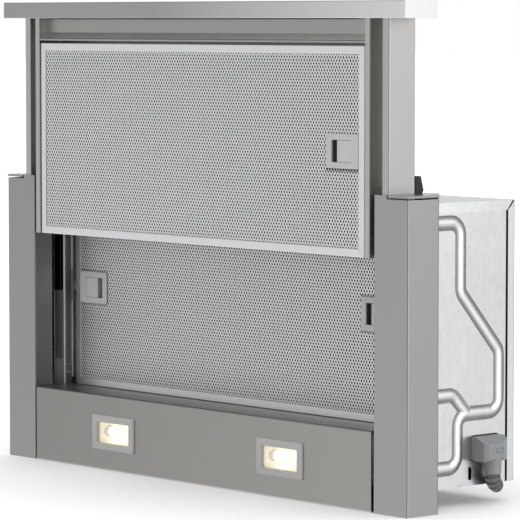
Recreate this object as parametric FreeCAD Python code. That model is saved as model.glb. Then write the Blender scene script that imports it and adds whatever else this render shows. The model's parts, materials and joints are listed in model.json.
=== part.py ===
import FreeCAD, Part

import math
import os

# Built-in slide-out cooker extractor, standing on its rear edge with the slide pulled out.
# All sizes are millimetres. While it is modelled, X = 0 is the middle, Y = 0 the front face
# of the posts and Z = 0 the foot of the posts; +Y runs towards the duct outlet.
# Each solid is written out with the origin moved to the middle of the cabinet screws.

V = FreeCAD.Vector
REARWARD = V(0, 1, 0)

# --- overall ---
WIDTH = 598.0            # over the posts, the 60 cm class
SHEET = 1.0              # folded stainless and galvanised sheet
BEND = 0.8               # inside bend radius of the folded sheet
TIGHT_BEND = 0.3         # inside bend radius of the side panels' leaning band
SEAT = 0.3               # gap between pieces that lie beside each other
FIT = 0.05               # radial clearance of a pin in its hole

# --- posts ---
POST_WIDTH = 45.0
POST_DEPTH = 40.3
POST_HEIGHT = 288.8
CHEEK_DEPTH = 22.5       # inner cheek behind the post's front sheet
COLLAR_GAP = 1.4         # dark line between post and collar plate
COLLAR_THICK = 2.2

# --- cabinet screws in the rear flanges of the posts ---
SCREW_HOLE_R = 2.5
SCREW_INSET = 11.0       # from the post's outer face
SCREW_ENDS = (35.0, 33.8)  # from the post's foot and from its top

# --- lamp panel ---
PANEL_GAP = 2.5          # panel to post cheek
PANEL_HEIGHT = 75.5
LEDGE_SPARE = 4.2        # ledge behind the lower filter
LEDGE_LIP = 14.0
LAMP_INSET = 126.0       # lamp's middle from the panel's end
LAMP_Z = 37.7
TRIM_WIDTH = 66.0
TRIM_HEIGHT = 35.0
TRIM_TURN = 2.5
TRIM_PROUD = 1.7
TRIM_SPIGOT = 6.0        # how far the trim reaches into the panel
TRIM_LAND = 1.0          # trim in front of the cover glass
LAMP_WIDTH = 51.0        # clear window of a lamp
LAMP_HEIGHT = 21.0
LAMP_TURN = 1.2
LAMP_CUT_EXTRA = 6.0     # panel cut-out beyond the window
CUT_TURN = 2.0
GLASS_LAP = 1.4          # cover glass beyond the window
GLASS_THICK = 2.0
REFLECTOR_DEPTH = 20.0
REFLECTOR_TAPER = (7.0, 4.2)  # how much the dish narrows, sideways and upwards
REFLECTOR_TURN = 3.0
BULB_R = 4.6
BULB_LENGTH = 24.0
SOCKET_SIDE = 14.0
SOCKET_LENGTH = 11.0
SOCKET_TURN = 1.5
NOSE_LENGTH = 9.0
NOSE_WALL = 1.0
NOSE_CLEAR = 0.4         # dish round the socket's nose

# --- slide: side channels, bar, cross member ---
TRAVEL = 156.0           # from pulled out to pushed home
REST_GAP = 2.5           # slide above the lamp panel when pushed home
CHEEK_CLEAR = 4.3        # ridge of the side channel to the post's cheek
CHANNEL_RIDGE = 6.9      # width of the inboard ridge
CHANNEL_GROOVE = 12.8    # width of the groove that clears the cheek
CHANNEL_LAND = 8.8       # width of the outboard flank
CHANNEL_FRONT = -1.4     # front of the inboard ridge
CHANNEL_FLANK = 2.1      # front of the outboard flank
CHANNEL_BACK = 35.8
CHANNEL_TURNS = (1.2, 1.2, 0.4, 0.4, 1.2, 1.8, 1.2, 0.4)
GROOVE_CLEAR = 4.5       # groove's floor behind the cheek
BAR_FRONT = -3.9
BAR_DEPTH = 40.5
BAR_HEIGHT = 16.1
BAR_WALL = 1.2
BAR_TURN = 0.8
BAR_LIP = 9.0            # inturned lips of the bar's open underside
BAR_BRIDGE = 20.0        # closed underside inboard of a side channel
HEAD_HEIGHT = 25.0       # from the upper filter's top to the bar
MEMBER_GAP = 2.4         # dark line over the upper filter
MEMBER_LIP = 2.4         # height of the narrow lip
MEMBER_STEP = 0.4
MEMBER_SLOPE = 5.5
MEMBER_PROUD = 0.6       # lip in front of the upper filter
MEMBER_FOOT = 2.0        # front of the sloping fold
MEMBER_WEB = 8.5         # face of the recess behind the bar
MEMBER_SHORT = 2.5       # upper flange short of the channels' back
MEMBER_RETURN = 20.0
MEMBER_BEND = 0.1        # tight folds of the narrow lip
BACK_LIP = 8.0           # lower edge of the slide's back sheet, turned forward
BACK_RIB_FOOT = 60.0     # lower rib above the sheet's foot
BACK_RIB_HEAD = 40.0     # upper rib below the sheet's top
BACK_RIB_LAND = 12.0
BACK_RIB_SLOPE = 4.0
BACK_RIB_DEPTH = 3.0
BACK_BEND = 0.6

# --- grease filters ---
FILTER_SIDE_GAP = 1.3    # filter to side channel
FILTER_HEADROOM = 19.5   # lower filter's top below the posts' top
FILTER_DEPTH = 9.0
FILTER_TURN = 1.0
FILTER_RIM = 7.7         # visible border round the mesh
FILTER_WALL = 1.0
MESH_CLEAR = 0.2         # mesh pack inside its rim
MESH_LAYER = 0.5         # face layers of the mesh pack
UPPER_FRONT = -0.2
LOWER_SET_BACK = 8.0     # lower filter behind the slide

# --- filter latches ---
LATCH_WIDTH = 43.3
LATCH_HEIGHT = 32.2
LATCH_DEPTH = 6.4
LATCH_TURN = 1.2
LATCH_PROUD = 0.4
LATCH_WALL = 1.0
UPPER_LATCH_Z = 96.7     # latch centre above the filter's lower edge
LOWER_LATCH_Z = 101.5
LATCH_INSET = 7.9        # latch's outboard edge from the filter's edge
WINDOW_START = 7.2       # window in the latch plate, from its inboard edge
WINDOW_LENGTH = 27.0
WINDOW_HEIGHT = 20.7
WINDOW_TURN = 0.8
TAB_LENGTH = 19.0
TAB_TURN = 0.6
TAB_GAP = 0.35
TAB_SUNK = 0.3
BOLT_SUNK = 2.4          # bolt behind the latch plate's face
BOLT_HEIGHT = 9.4
BOLT_THICK = 2.0
LATCH_STROKE = 6.0       # how far a tab draws back
BOLT_SPARE = 0.5         # stroke left once the bolt is inside the filter's edge

# --- box ---
BOX_INSET = 21.0         # side panels inside the posts' outer faces
BOX_BOTTOM = 18.5
BOX_DROP = 5.4           # box top below the posts' top
BAND_HEIGHT = 9.4        # bevelled band along the top of a side panel
BAND_LEAN = 2.0
BOX_REAR = 159.7
PANEL_SHORT = 10.8       # rear edge of a side panel before the box's rear
REAR_LIP = 9.5           # forward lip of the rear cover
SHELF_CLEAR = 2.4        # front edges of box top and box bottom behind the ball slides
SHELF_LAP = 10.0         # collar plate and lamp panel beyond those edges
BOX_FRONT = 3.0          # front edge of the side panels, inside the posts

# --- stamped bead on the side panels ---
BEAD_WIDTH = 14.2
BEAD_HEIGHT = 3.0
BEAD_TURN = 12.0
BEAD_TO_POST = 7.7       # ends of the bead behind the post
BEAD_DROP = 18.8         # upper run below the box's top
BEAD_FRONT_Y = 88.0
BEAD_REAR_INSET = 10.5   # rear run before the panel's rear edge
BEAD_SLANT_Z = (200.0, 143.0)
BEAD_CROSS_Z = 86.3
BEAD_FOOT_Y = 84.5
BEAD_FOOT_RISE = 18.6    # lowest run above the box's bottom
BEAD_BRANCH_Y = (97.0, 79.0)
BEAD_BRANCH_RISE = 18.5

# --- side panel openings ---
SLOT_Y = (99.0, 103.0)
SLOT_RISE = (5.5, 17.5)  # slot above the box's bottom
NOTCH_Y = 88.0
NOTCH_R = 1.6
INLET_REAR_INSET = 9.4   # inlet opening before the panel's rear edge
INLET_WIDTH = 38.0
INLET_RISE = 22.0        # inlet opening above the box's bottom
INLET_HEIGHT = 25.0
INLET_TURN = 4.0
INLET_DEPTH = 24.0
INLET_WALL = 1.8
INLET_FLOOR = 3.0
CONTACT_PITCH = 7.0
CONTACT_SIZE = (2.0, 4.0)  # thickness and height of a contact pin
CONTACT_LENGTH = 5.0
TAIL_INSET = 4.0         # neck between the inlet cup and the terminal box

# --- connector and boot ---
PLUG_GAP = 1.2           # dark gap round the connector in the recess
PLUG_OUT = 20.0          # how far the connector stands out of the panel
PLUG_ROOT = 10.0         # rear end of the connector off the inlet's floor
PLUG_FIT = 5.0           # length of the root that fits the inlet closely
PLUG_BASE = 4.0          # straight part outside the panel
PLUG_SHOULDER = 6.0
PLUG_CORNER = (3.0, 12.0, 8.0)  # corners cut off the shoulder, seen from above
PLUG_CONTACT_INSET = 9.0
PLUG_MARK = (9.0, 4.4)   # moulded slot in the outer face
PLUG_MARK_PLACE = (18.0, -1.0)  # its middle from the connector's front edge and from the inlet's middle
PLUG_MARK_DEPTH = 0.5
PLUG_MARK_EDGE = 0.8     # groove round the slot's island
NECK_OFFSET = 18.1       # neck's middle from the opening's front edge
NECK_R = 8.8
NECK_TAPER = 0.8
NECK_DROP = 10.5         # neck's foot below the opening
NECK_ROOT = 5.2          # neck's top above the opening's lower edge
BOOT_R = (7.8, 6.8)
BOOT_GROOVE = 1.2
BOOT_RINGS = 4
BOOT_PITCH = 4.4
BOOT_RING_WIDTH = 2.2
BOOT_RING_TURN = 0.7
BOOT_BORE = 3.6
BOOT_BORE_DEPTH = 10.0
BOOT_BEND_R = 13.0
BOOT_BEND = 75.0         # degrees that the boot turns under the box
BOOT_LENGTH = 20.4       # pitch line of the rings
BOOT_HEADING = (-0.34, 0.94)

# --- ball slides behind the side channels ---
RAIL_INSET = 8.8         # middle of a ball slide from the channel's outboard face
RAIL_WIDTH = 18.0
RAIL_DEPTH = 10.8
RAIL_SHEET = 1.2
RAIL_LIP = 0.7
RAIL_BEND = 0.5
RAIL_FRONT_GAP = 2.0     # from the slide's back to the outer rail's lips
RAIL_REAR_GAP = 1.0
RAIL_ENDS = (1.5, 0.4)   # outer rail short of the box's bottom and top
RAIL_SEAT_ENDS = (63.5, 2.4)  # hat section that carries it, from the same
INNER_RAIL_WIDTH = 10.0
INNER_RAIL_BEND = 0.6
INNER_RAIL_SHORT = 2.6   # inner rail's legs before the outer rail's web
INNER_RAIL_DROP = 2.5    # its foot below the box's bottom when pushed home
INNER_RAIL_HEAD = 2.8    # its top below the posts' top
BALL_R = 1.35
BALL_COUNT = 9
BALL_END = 6.0           # first ball from the cage's end
BALL_SET_BACK = 0.4
CAGE_SHEET = 0.8
CAGE_BEND = 0.2
CAGE_ARM = 2.0
CAGE_GAP = 1.2           # cage's web before the outer rail's web
CAGE_ENDS = (4.0, 31.4)  # cage short of the box's bottom when pushed home, and of its top

# --- stops behind the slide ---
STOP_WIDTH = 6.5
STOP_HEIGHT = 16.2
STOP_DEPTH = (10.5, 6.8)
STOP_INSET = 8.6         # wedge's inboard end from the channel's outer face
STOP_TOE = (2.0, 3.0)

# --- intake frame behind the lower filter ---
INTAKE_SIDE = 13.5       # opening inside the lower filter's edges
INTAKE_ENDS = (20.2, 13.6)  # opening inside the filter's lower and upper edge
INTAKE_FLANGE = 7.4
INTAKE_TURN = 8.0
KEEPER_GAP = 5.0         # latch keeper beyond the filter's edge
KEEPER_HALF = 16.0
KEEPER_FOOT = 9.0
KEEPER_REACH = 2.0       # keeper in front of the lower filter

# --- blower ---
FAN_TO_OUTLET = 200.0    # between the fan's axis and the outlet's
SCROLL_MARGIN = 16.45    # widest part of the spiral inside the box's walls
SCROLL_GROWTH = 36.0     # how much the spiral's radius grows
SCROLL_ANGLES = (-30.0, -320.0)
SCROLL_STEPS = 14
SCROLL_GAP = 4.5         # behind the intake frame
SCROLL_WALL = 1.6
FAN_GAP = 8.0            # fan's rim to the spiral's start
INLET_LAP = 16.0         # fan's rim beyond the inlet ring
INLET_LIP_R = 4.0        # rolled edge of the inlet ring
FAN_HUB_R = 30.0
BLADE_COUNT = 26
BLADE_CHORD = 13.0
BLADE_THICK = 1.0
BLADE_SAG = 3.2
BLADE_SHORT = 0.2        # blade tips inside the rim
FAN_RIM_SHARE = 0.45     # rim's width as a share of the blade's chord
FAN_DISC = 1.6
FAN_CLEAR = 4.0          # fan to scroll, front and back
FAN_LIP_CLEAR = 3.0      # more of it at the front, for the rolled edge
HUB_LENGTH = 22.0
HUB_WALL = 5.0
SHAFT_R = 4.0
SHAFT_SHORT = 1.0
MOTOR_R = 40.0
MOTOR_REAR_GAP = 9.7     # motor to the rear cover
MOTOR_LENGTH = 30.0      # motor behind the scroll's back
MOTOR_FRONT_GAP = 3.0    # fan's disc to the motor
CORE_WALL = 4.0          # shield's wall round the stator
CORE_LAP = 1.0
CORE_BORE_WALL = 3.5
CORE_SLOTS = 6
CORE_SLOT_R = 4.0
CORE_SLOT_REACH = 22.0
BEARING_WALL = 5.0
BEARING_LENGTH = 4.5
BEARING_SEAT = 3.0
ROTOR_GAP = 1.5          # rotor's ends to the bearings
SHIELD_THICK = 3.0
SHIELD_SPLIT = 4.0       # half the open belt between the shields
SHIELD_SLOTS = 8
SHIELD_SLOT_HALF = 2.5
SHIELD_SLOT_ENDS = (6.0, 7.0)
SHAFT_HOLE_CLEAR = 0.6
FOOT_COUNT = 3
FOOT_R = 4.0
FOOT_REACH = 16.0        # feet outside the motor
FOOT_THICK = 4.0
EYE_WALL = 3.0
ARM_WIDTH = 8.0
ARM_ROOT = 0.62          # where an arm starts, as a share of its foot's radius
BUSH_PAD = 3.0
BUSH_LIP = 1.5

# --- outlet ---
OUTLET_INSET = 160.0     # outlet's axis from the right-hand side panel
OUTLET_R = 74.0          # takes a 150 mm duct
OUTLET_WALL = 2.0
OUTLET_LENGTH = 45.0
OUTLET_FLANGE = 8.0
PLENUM_MARGIN = 10.0     # chamber in front of the outlet, beyond its radius
PLENUM_TURN = 14.0
FLAP_REACH = 21.3        # flap pins behind the box
FLAP_THICK = 1.6
FLAP_PIN_R = 1.5
FLAP_BARREL = 1.0
FLAP_BARREL_SHORT = 1.5
FLAP_OFFSET = 4.0
FLAP_CLEAR = 0.8
STOP_BAR = (6.0, 2.5)    # cross bar in the collar, in front of the pins
STOP_BAR_HALF = 1.0

# --- electrics inside the right end ---
TERMINAL_INSET = (66.0, 30.0)  # from the side panel
TERMINAL_Y = (66.0, 140.0)
TERMINAL_RISE = (7.5, 77.5)    # above the box's bottom
TERMINAL_WALL = 1.8
TERMINAL_TURN = 3.0
LID_SEAM = (6.0, 6.6)
GROMMET_R = 5.0
GROMMET_PLACE = (18.0, 20.0)
CAPACITOR_R = 14.0
CAPACITOR_TURN = 2.0
CAPACITOR_LENGTH = 48.0
CAPACITOR_INSET = 46.0   # from the left-hand side panel
CAPACITOR_RISE = 41.5    # above the box's bottom
CAPACITOR_START = 15.0   # behind the collar plate
CLIP_HALF = 6.0
CLIP_SPAN = (14.0, 34.0)
CLIP_LAP = 3.0

# --- rear cover ---
COVER_SCREW_HEAD_R = 3.6
COVER_SCREW_HEAD = 1.8
COVER_SCREW_TURN = 0.6
COVER_SCREW_R = 1.45
COVER_SCREW_LENGTH = 9.0
COVER_SCREW_SIDE = 13.0  # outer screws from the side panels
COVER_SCREW_MIDDLE = 90.0
COVER_SCREW_INSET = 6.0
COVER_FLANGE = 12.0      # inward flanges of box top and box bottom that take the screws
COVER_RIBS = 4
COVER_RIB_HALF = 4.0
COVER_RIB_PROUD = 1.2
COVER_RIB_SIDE = 20.0
COVER_RIB_END = 40.0     # first rib from the cover's lower and upper edge
COVER_RIB_REACH = 60.0   # ribs beyond the fan's axis

# --- values that follow from the ones above ---
HALF = WIDTH / 2.0
POST_INNER = HALF - POST_WIDTH
COLLAR_BOTTOM = POST_HEIGHT + COLLAR_GAP
COLLAR_TOP = COLLAR_BOTTOM + COLLAR_THICK
SCREW_X = HALF - SCREW_INSET
SCREW_Z = (SCREW_ENDS[0], POST_HEIGHT - SCREW_ENDS[1])
SCREW_MIDDLE = sum(SCREW_Z) / 2.0
ORIGIN = V(0, POST_DEPTH, SCREW_MIDDLE)
PANEL_HALF = POST_INNER - PANEL_GAP
LAMP_X = PANEL_HALF - LAMP_INSET
CHANNEL_INNER = POST_INNER - CHEEK_CLEAR - CHANNEL_RIDGE
CHANNEL_OUTER = CHANNEL_INNER + CHANNEL_RIDGE + CHANNEL_GROOVE + CHANNEL_LAND
GROOVE_FLOOR = CHEEK_DEPTH + GROOVE_CLEAR
FILTER_HALF = CHANNEL_INNER - FILTER_SIDE_GAP
FILTER_HEIGHT = POST_HEIGHT - PANEL_HEIGHT - FILTER_HEADROOM
UPPER_BOTTOM = PANEL_HEIGHT + REST_GAP + TRAVEL
LOWER_BOTTOM = PANEL_HEIGHT + SEAT
LOWER_FRONT = CHANNEL_BACK + LOWER_SET_BACK
LEDGE_DEPTH = LOWER_FRONT + FILTER_DEPTH + LEDGE_SPARE
MEMBER_BOTTOM = UPPER_BOTTOM + FILTER_HEIGHT + MEMBER_GAP
MEMBER_FRONT = UPPER_FRONT - MEMBER_PROUD
BAR_BOTTOM = UPPER_BOTTOM + FILTER_HEIGHT + HEAD_HEIGHT
BAR_TOP = BAR_BOTTOM + BAR_HEIGHT
BOLT_REACH = LATCH_STROKE - BOLT_SPARE
GLASS_HALF = (LAMP_WIDTH / 2.0 + GLASS_LAP, LAMP_HEIGHT / 2.0 + GLASS_LAP)
GLASS_BACK = TRIM_LAND + GLASS_THICK
BULB_Y = GLASS_BACK + FIT + REFLECTOR_DEPTH / 2.0
BOX_HALF = HALF - BOX_INSET
BOX_TOP = POST_HEIGHT - BOX_DROP
PANEL_REAR = BOX_REAR - PANEL_SHORT
RAIL_X = CHANNEL_OUTER - RAIL_INSET
RAIL_BACK = CHANNEL_BACK + RAIL_DEPTH + RAIL_REAR_GAP
OUTER_RAIL_Z = (BOX_BOTTOM + RAIL_ENDS[0], BOX_TOP - RAIL_ENDS[1])
RAIL_SEAT_Z = (BOX_BOTTOM + RAIL_SEAT_ENDS[0], BOX_TOP - RAIL_SEAT_ENDS[1])
INNER_RAIL_Z = (BOX_BOTTOM + TRAVEL - INNER_RAIL_DROP, POST_HEIGHT - INNER_RAIL_HEAD)
CAGE_Z = (BOX_BOTTOM + TRAVEL / 2.0 + CAGE_ENDS[0], BOX_TOP - CAGE_ENDS[1])
SHELF_FRONT = RAIL_BACK + SHELF_CLEAR
COLLAR_REAR = SHELF_FRONT + SHELF_LAP
BEAD_START = POST_DEPTH + BEAD_TO_POST
BEAD_TOP_Z = BOX_TOP - BEAD_DROP
BEAD_REAR_Y = PANEL_REAR - BEAD_REAR_INSET
BEAD_FOOT_Z = BOX_BOTTOM + BEAD_FOOT_RISE
SLOT_Z = (BOX_BOTTOM + SLOT_RISE[0], BOX_BOTTOM + SLOT_RISE[1])
INLET_Y = (PANEL_REAR - INLET_REAR_INSET - INLET_WIDTH, PANEL_REAR - INLET_REAR_INSET)
INLET_Z = (BOX_BOTTOM + INLET_RISE, BOX_BOTTOM + INLET_RISE + INLET_HEIGHT)
NECK_Y = INLET_Y[0] + NECK_OFFSET
NECK_FOOT = INLET_Z[0] - NECK_DROP
NECK_X = BOX_HALF + PLUG_OUT - NECK_R
INTAKE_Y = LOWER_FRONT + FILTER_DEPTH + SEAT + INTAKE_FLANGE
INTAKE_HALF = FILTER_HALF - INTAKE_SIDE
INTAKE_Z = (LOWER_BOTTOM + INTAKE_ENDS[0], LOWER_BOTTOM + FILTER_HEIGHT - INTAKE_ENDS[1])
KEEPER_X = FILTER_HALF + KEEPER_GAP
COVER_REAR_FACE = BOX_REAR - SHEET
OUTLET_X = BOX_HALF - OUTLET_INSET
OUTLET_Z = (BOX_BOTTOM + BOX_TOP) / 2.0
PLENUM_HALF = OUTLET_R + PLENUM_MARGIN
PLENUM_BACK = BOX_REAR - SHEET - SEAT
FLAP_Y = BOX_REAR + FLAP_REACH
FAN_X = OUTLET_X - FAN_TO_OUTLET
FAN_Z = OUTLET_Z
SCROLL_END_R = (BOX_TOP - BOX_BOTTOM) / 2.0 - SCROLL_MARGIN
SCROLL_START_R = SCROLL_END_R - SCROLL_GROWTH
FAN_R = SCROLL_START_R - FAN_GAP
INLET_R = FAN_R - INLET_LAP
MOTOR_BACK = BOX_REAR - MOTOR_REAR_GAP
SCROLL_FRONT = INTAKE_Y + SHEET + SCROLL_GAP
SCROLL_BACK = MOTOR_BACK - MOTOR_LENGTH
MOTOR_CORE_R = MOTOR_R - CORE_WALL
BEARING_R = SHAFT_R + BEARING_WALL
TERMINAL_X = (BOX_HALF - TERMINAL_INSET[0], BOX_HALF - TERMINAL_INSET[1])
TERMINAL_Z = (BOX_BOTTOM + TERMINAL_RISE[0], BOX_BOTTOM + TERMINAL_RISE[1])
CAPACITOR_X = CAPACITOR_INSET - BOX_HALF
CAPACITOR_Z = BOX_BOTTOM + CAPACITOR_RISE

os.makedirs("parts", exist_ok=True)


# ---------------------------------------------------------------- helpers
def box(x, y, z):
    """A block between two values on each axis."""
    return Part.makeBox(x[1] - x[0], y[1] - y[0], z[1] - z[0], V(x[0], y[0], z[0]))


def mirrored(shape):
    """The left-hand copy of a right-hand piece."""
    return shape.mirror(V(0, 0, 0), V(1, 0, 0))


def lift(point, axis, level):
    """Place a 2D point in the plane across the named axis."""
    a, b = point
    return {"X": V(level, a, b), "Y": V(a, level, b), "Z": V(a, b, level)}[axis]


def rounded_wire(points, radii, axis, level):
    """Closed wire through 2D points, with an arc at each point whose radius is above zero."""
    edges, ends = [], []
    count = len(points)
    for i, (x, y) in enumerate(points):
        before, after = points[i - 1], points[(i + 1) % count]
        a = V(before[0] - x, before[1] - y, 0).normalize()
        b = V(after[0] - x, after[1] - y, 0).normalize()
        corner, radius = V(x, y, 0), radii[i]
        half = a.getAngle(b) / 2.0
        if radius <= 0 or abs(half - math.pi / 2) < 1e-6:
            ends.append((corner, None, corner))
            continue
        reach = radius / math.tan(half)
        middle = corner + (a + b).normalize() * (radius / math.sin(half) - radius)
        ends.append((corner + a * reach, middle, corner + b * reach))

    def put(p):
        return lift((p.x, p.y), axis, level)
    for i, (start, middle, end) in enumerate(ends):
        if middle is not None:
            edges.append(Part.Arc(put(start), put(middle), put(end)).toShape())
        following = ends[(i + 1) % count][0]
        if end.distanceToPoint(following) > 1e-6:
            edges.append(Part.LineSegment(put(end), put(following)).toShape())
    return Part.Wire(edges)


def run_along(wire, axis, length):
    """Extrude a flat wire along its axis."""
    step = {"X": V(length, 0, 0), "Y": V(0, length, 0), "Z": V(0, 0, length)}[axis]
    return Part.Face(wire).extrude(step)


def plate(points, axis, low, high, radius=0.0):
    """Flat outline with equally rounded corners, extruded between two levels of an axis."""
    wire = rounded_wire(points, [radius] * len(points), axis, low)
    return run_along(wire, axis, high - low)


def slab(a, b, axis, low, high, radius=0.0):
    """Rectangle between ranges a and b, with rounded corners, extruded along an axis."""
    corners = [(a[0], b[0]), (a[1], b[0]), (a[1], b[1]), (a[0], b[1])]
    return plate(corners, axis, low, high, radius)


def folded(path, thick, axis, low, high, bend=BEND):
    """Sheet folded along an open 2D path. The sheet lies to the left of the path."""
    left, radii_left, radii_right = [], [0.0], [0.0]
    count = len(path)

    def heading(i):
        return V(path[i + 1][0] - path[i][0], path[i + 1][1] - path[i][1], 0).normalize()
    for i in range(count):
        if i in (0, count - 1):
            d = heading(0) if i == 0 else heading(count - 2)
            left.append((path[i][0] - d.y * thick, path[i][1] + d.x * thick))
            continue
        d, e = heading(i - 1), heading(i)
        n = V(-d.y - e.y, d.x + e.x, 0)
        scale = thick / (1 + d.dot(e))
        left.append((path[i][0] + n.x * scale, path[i][1] + n.y * scale))
        turns_left = d.x * e.y - d.y * e.x > 0
        radii_right.append(bend + thick if turns_left else bend)
        radii_left.append(bend if turns_left else bend + thick)
    radii_left.append(0.0)
    radii_right.append(0.0)
    points = list(path) + left[::-1]
    wire = rounded_wire(points, radii_right + radii_left[::-1], axis, low)
    return run_along(wire, axis, high - low)


def fan_axis(y):
    """Point on the axis of fan and motor."""
    return V(FAN_X, y, FAN_Z)


def cylinder(radius, start, direction, length):
    """Solid rod from a start point."""
    return Part.makeCylinder(radius, length, start, direction)


def ring(outer, inner, start, direction, length):
    """Tube from a start point."""
    return cylinder(outer, start, direction, length).cut(cylinder(inner, start, direction, length))


def fused(shapes):
    """One solid from several that meet."""
    whole = shapes[0]
    for shape in shapes[1:]:
        whole = whole.fuse(shape)
    return whole.removeSplitter()


def save(name, shape):
    """Write a sub-part in the frame whose origin is the middle of the cabinet screws."""
    moved = shape.copy()
    moved.translate(ORIGIN * -1)
    if moved.ShapeType == "Compound" and len(moved.Solids) == 1:
        moved = moved.Solids[0]
    moved.exportStep(f"parts/{name}.step")
    print(f"{name}: {len(moved.Solids)} solid(s), valid {moved.isValid()}, volume {moved.Volume:.0f}")


def save_pair(name, shape):
    """Write a right-hand piece and its mirrored left-hand copy."""
    save(f"{name}_right", shape)
    save(f"{name}_left", mirrored(shape))


# ---------------------------------------------------------------- posts and collar
def post():
    """Right-hand post: cheek, front, side and rear flange from one sheet, taller in front of the slide."""
    path = [(POST_INNER, CHEEK_DEPTH), (POST_INNER, 0), (HALF, 0), (HALF, POST_DEPTH),
            (BOX_HALF, POST_DEPTH)]
    shape = folded(path, SHEET, "Z", 0, COLLAR_TOP)
    shape = shape.cut(box((CHANNEL_OUTER, HALF + SHEET), (-SHEET, POST_DEPTH + SHEET),
                          (POST_HEIGHT, COLLAR_TOP + SHEET)))
    for z in SCREW_Z:
        start = V(SCREW_X, POST_DEPTH - 2 * SHEET, z)
        shape = shape.cut(cylinder(SCREW_HOLE_R, start, REARWARD, 4 * SHEET))
    return shape


def collar_plate():
    """Plate over both posts, cut out for the slide and its ball slides, with turned-down edges."""
    side = CHANNEL_OUTER + SEAT + COLLAR_GAP
    notch = CHANNEL_BACK + COLLAR_GAP
    outer = [(-HALF, 0), (-side, 0), (-side, notch), (side, notch), (side, 0), (HALF, 0),
             (HALF, POST_DEPTH), (BOX_HALF, POST_DEPTH), (BOX_HALF, COLLAR_REAR),
             (-BOX_HALF, COLLAR_REAR), (-BOX_HALF, POST_DEPTH), (-HALF, POST_DEPTH)]
    shape = plate(outer, "Z", COLLAR_BOTTOM, COLLAR_TOP)
    hollow = (COLLAR_BOTTOM, COLLAR_TOP - SHEET)
    for s in (-1, 1):
        a, b = sorted((s * (side + SHEET), s * (HALF - SHEET)))
        shape = shape.cut(box((a, b), (SHEET, POST_DEPTH - SHEET), hollow))
    inner = BOX_HALF - SHEET
    shape = shape.cut(box((-inner, inner), (notch + SHEET, COLLAR_REAR - SHEET), hollow))
    lip = box((-inner, inner), (COLLAR_REAR - SHEET, COLLAR_REAR), (BOX_TOP, COLLAR_BOTTOM + SHEET))
    return shape.fuse(lip).removeSplitter()


def slide_stop():
    """Rubber wedge on the collar plate, behind the slide's channel."""
    front = CHANNEL_BACK + COLLAR_GAP + SHEET
    foot, top = STOP_DEPTH
    toe, toe_height = STOP_TOE
    outline = [(front, COLLAR_TOP), (front + foot - toe, COLLAR_TOP), (front + foot, COLLAR_TOP + toe_height),
               (front + top, COLLAR_TOP + STOP_HEIGHT), (front, COLLAR_TOP + STOP_HEIGHT)]
    start = CHANNEL_OUTER - STOP_INSET
    wire = rounded_wire(outline, [0, 0, 0, 1.5, 0.5], "X", start)
    return run_along(wire, "X", STOP_WIDTH)


# ---------------------------------------------------------------- lamp panel and lamps
def lamp_slab(x, half, low, high, turn):
    """Rounded rectangle about a lamp's middle, between two levels of Y."""
    return slab((x - half[0], x + half[0]), (LAMP_Z - half[1], LAMP_Z + half[1]), "Y", low, high, turn)


def lamp_cut_half():
    """Half sizes of the panel's cut-out for a lamp."""
    return (LAMP_WIDTH + LAMP_CUT_EXTRA) / 2.0, (LAMP_HEIGHT + LAMP_CUT_EXTRA) / 2.0


def lamp_panel():
    """Front panel with the ledge for the lower filter and two lamp cut-outs."""
    shelf = BOX_BOTTOM - SEAT - SHEET
    path = [(LEDGE_DEPTH, PANEL_HEIGHT - LEDGE_LIP), (LEDGE_DEPTH, PANEL_HEIGHT), (0, PANEL_HEIGHT), (0, 0),
            (POST_DEPTH, 0), (POST_DEPTH, shelf), (COLLAR_REAR, shelf)]
    shape = folded(path, SHEET, "X", -PANEL_HALF, PANEL_HALF)
    for x in (-LAMP_X, LAMP_X):
        shape = shape.cut(lamp_slab(x, lamp_cut_half(), -SHEET, 3 * SHEET, CUT_TURN))
    return shape


def lamp_trim(x):
    """Bevelled trim frame that stands proud of the lamp panel."""
    back = lamp_slab(x, (TRIM_WIDTH / 2.0, TRIM_HEIGHT / 2.0), -TRIM_PROUD, 0, TRIM_TURN)
    edge = [e for e in back.Edges if abs(e.BoundBox.YMax + TRIM_PROUD) < 1e-6]
    back = back.makeChamfer(TRIM_PROUD * 0.5, edge)
    cut_w, cut_h = lamp_cut_half()
    spigot = lamp_slab(x, (cut_w - SEAT, cut_h - SEAT), 0, TRIM_SPIGOT, CUT_TURN - SEAT)
    through = TRIM_SPIGOT + SHEET
    window = lamp_slab(x, (LAMP_WIDTH / 2.0, LAMP_HEIGHT / 2.0), -2 * TRIM_PROUD, through, LAMP_TURN)
    rebate = lamp_slab(x, (GLASS_HALF[0] + SEAT, GLASS_HALF[1] + SEAT), TRIM_LAND, through, LAMP_TURN + SEAT)
    return back.fuse(spigot).cut(window).cut(rebate).removeSplitter()


def lamp_lens(x):
    """Flat cover glass in the rebate behind the trim's window."""
    return lamp_slab(x, GLASS_HALF, TRIM_LAND, GLASS_BACK, LAMP_TURN)


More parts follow.
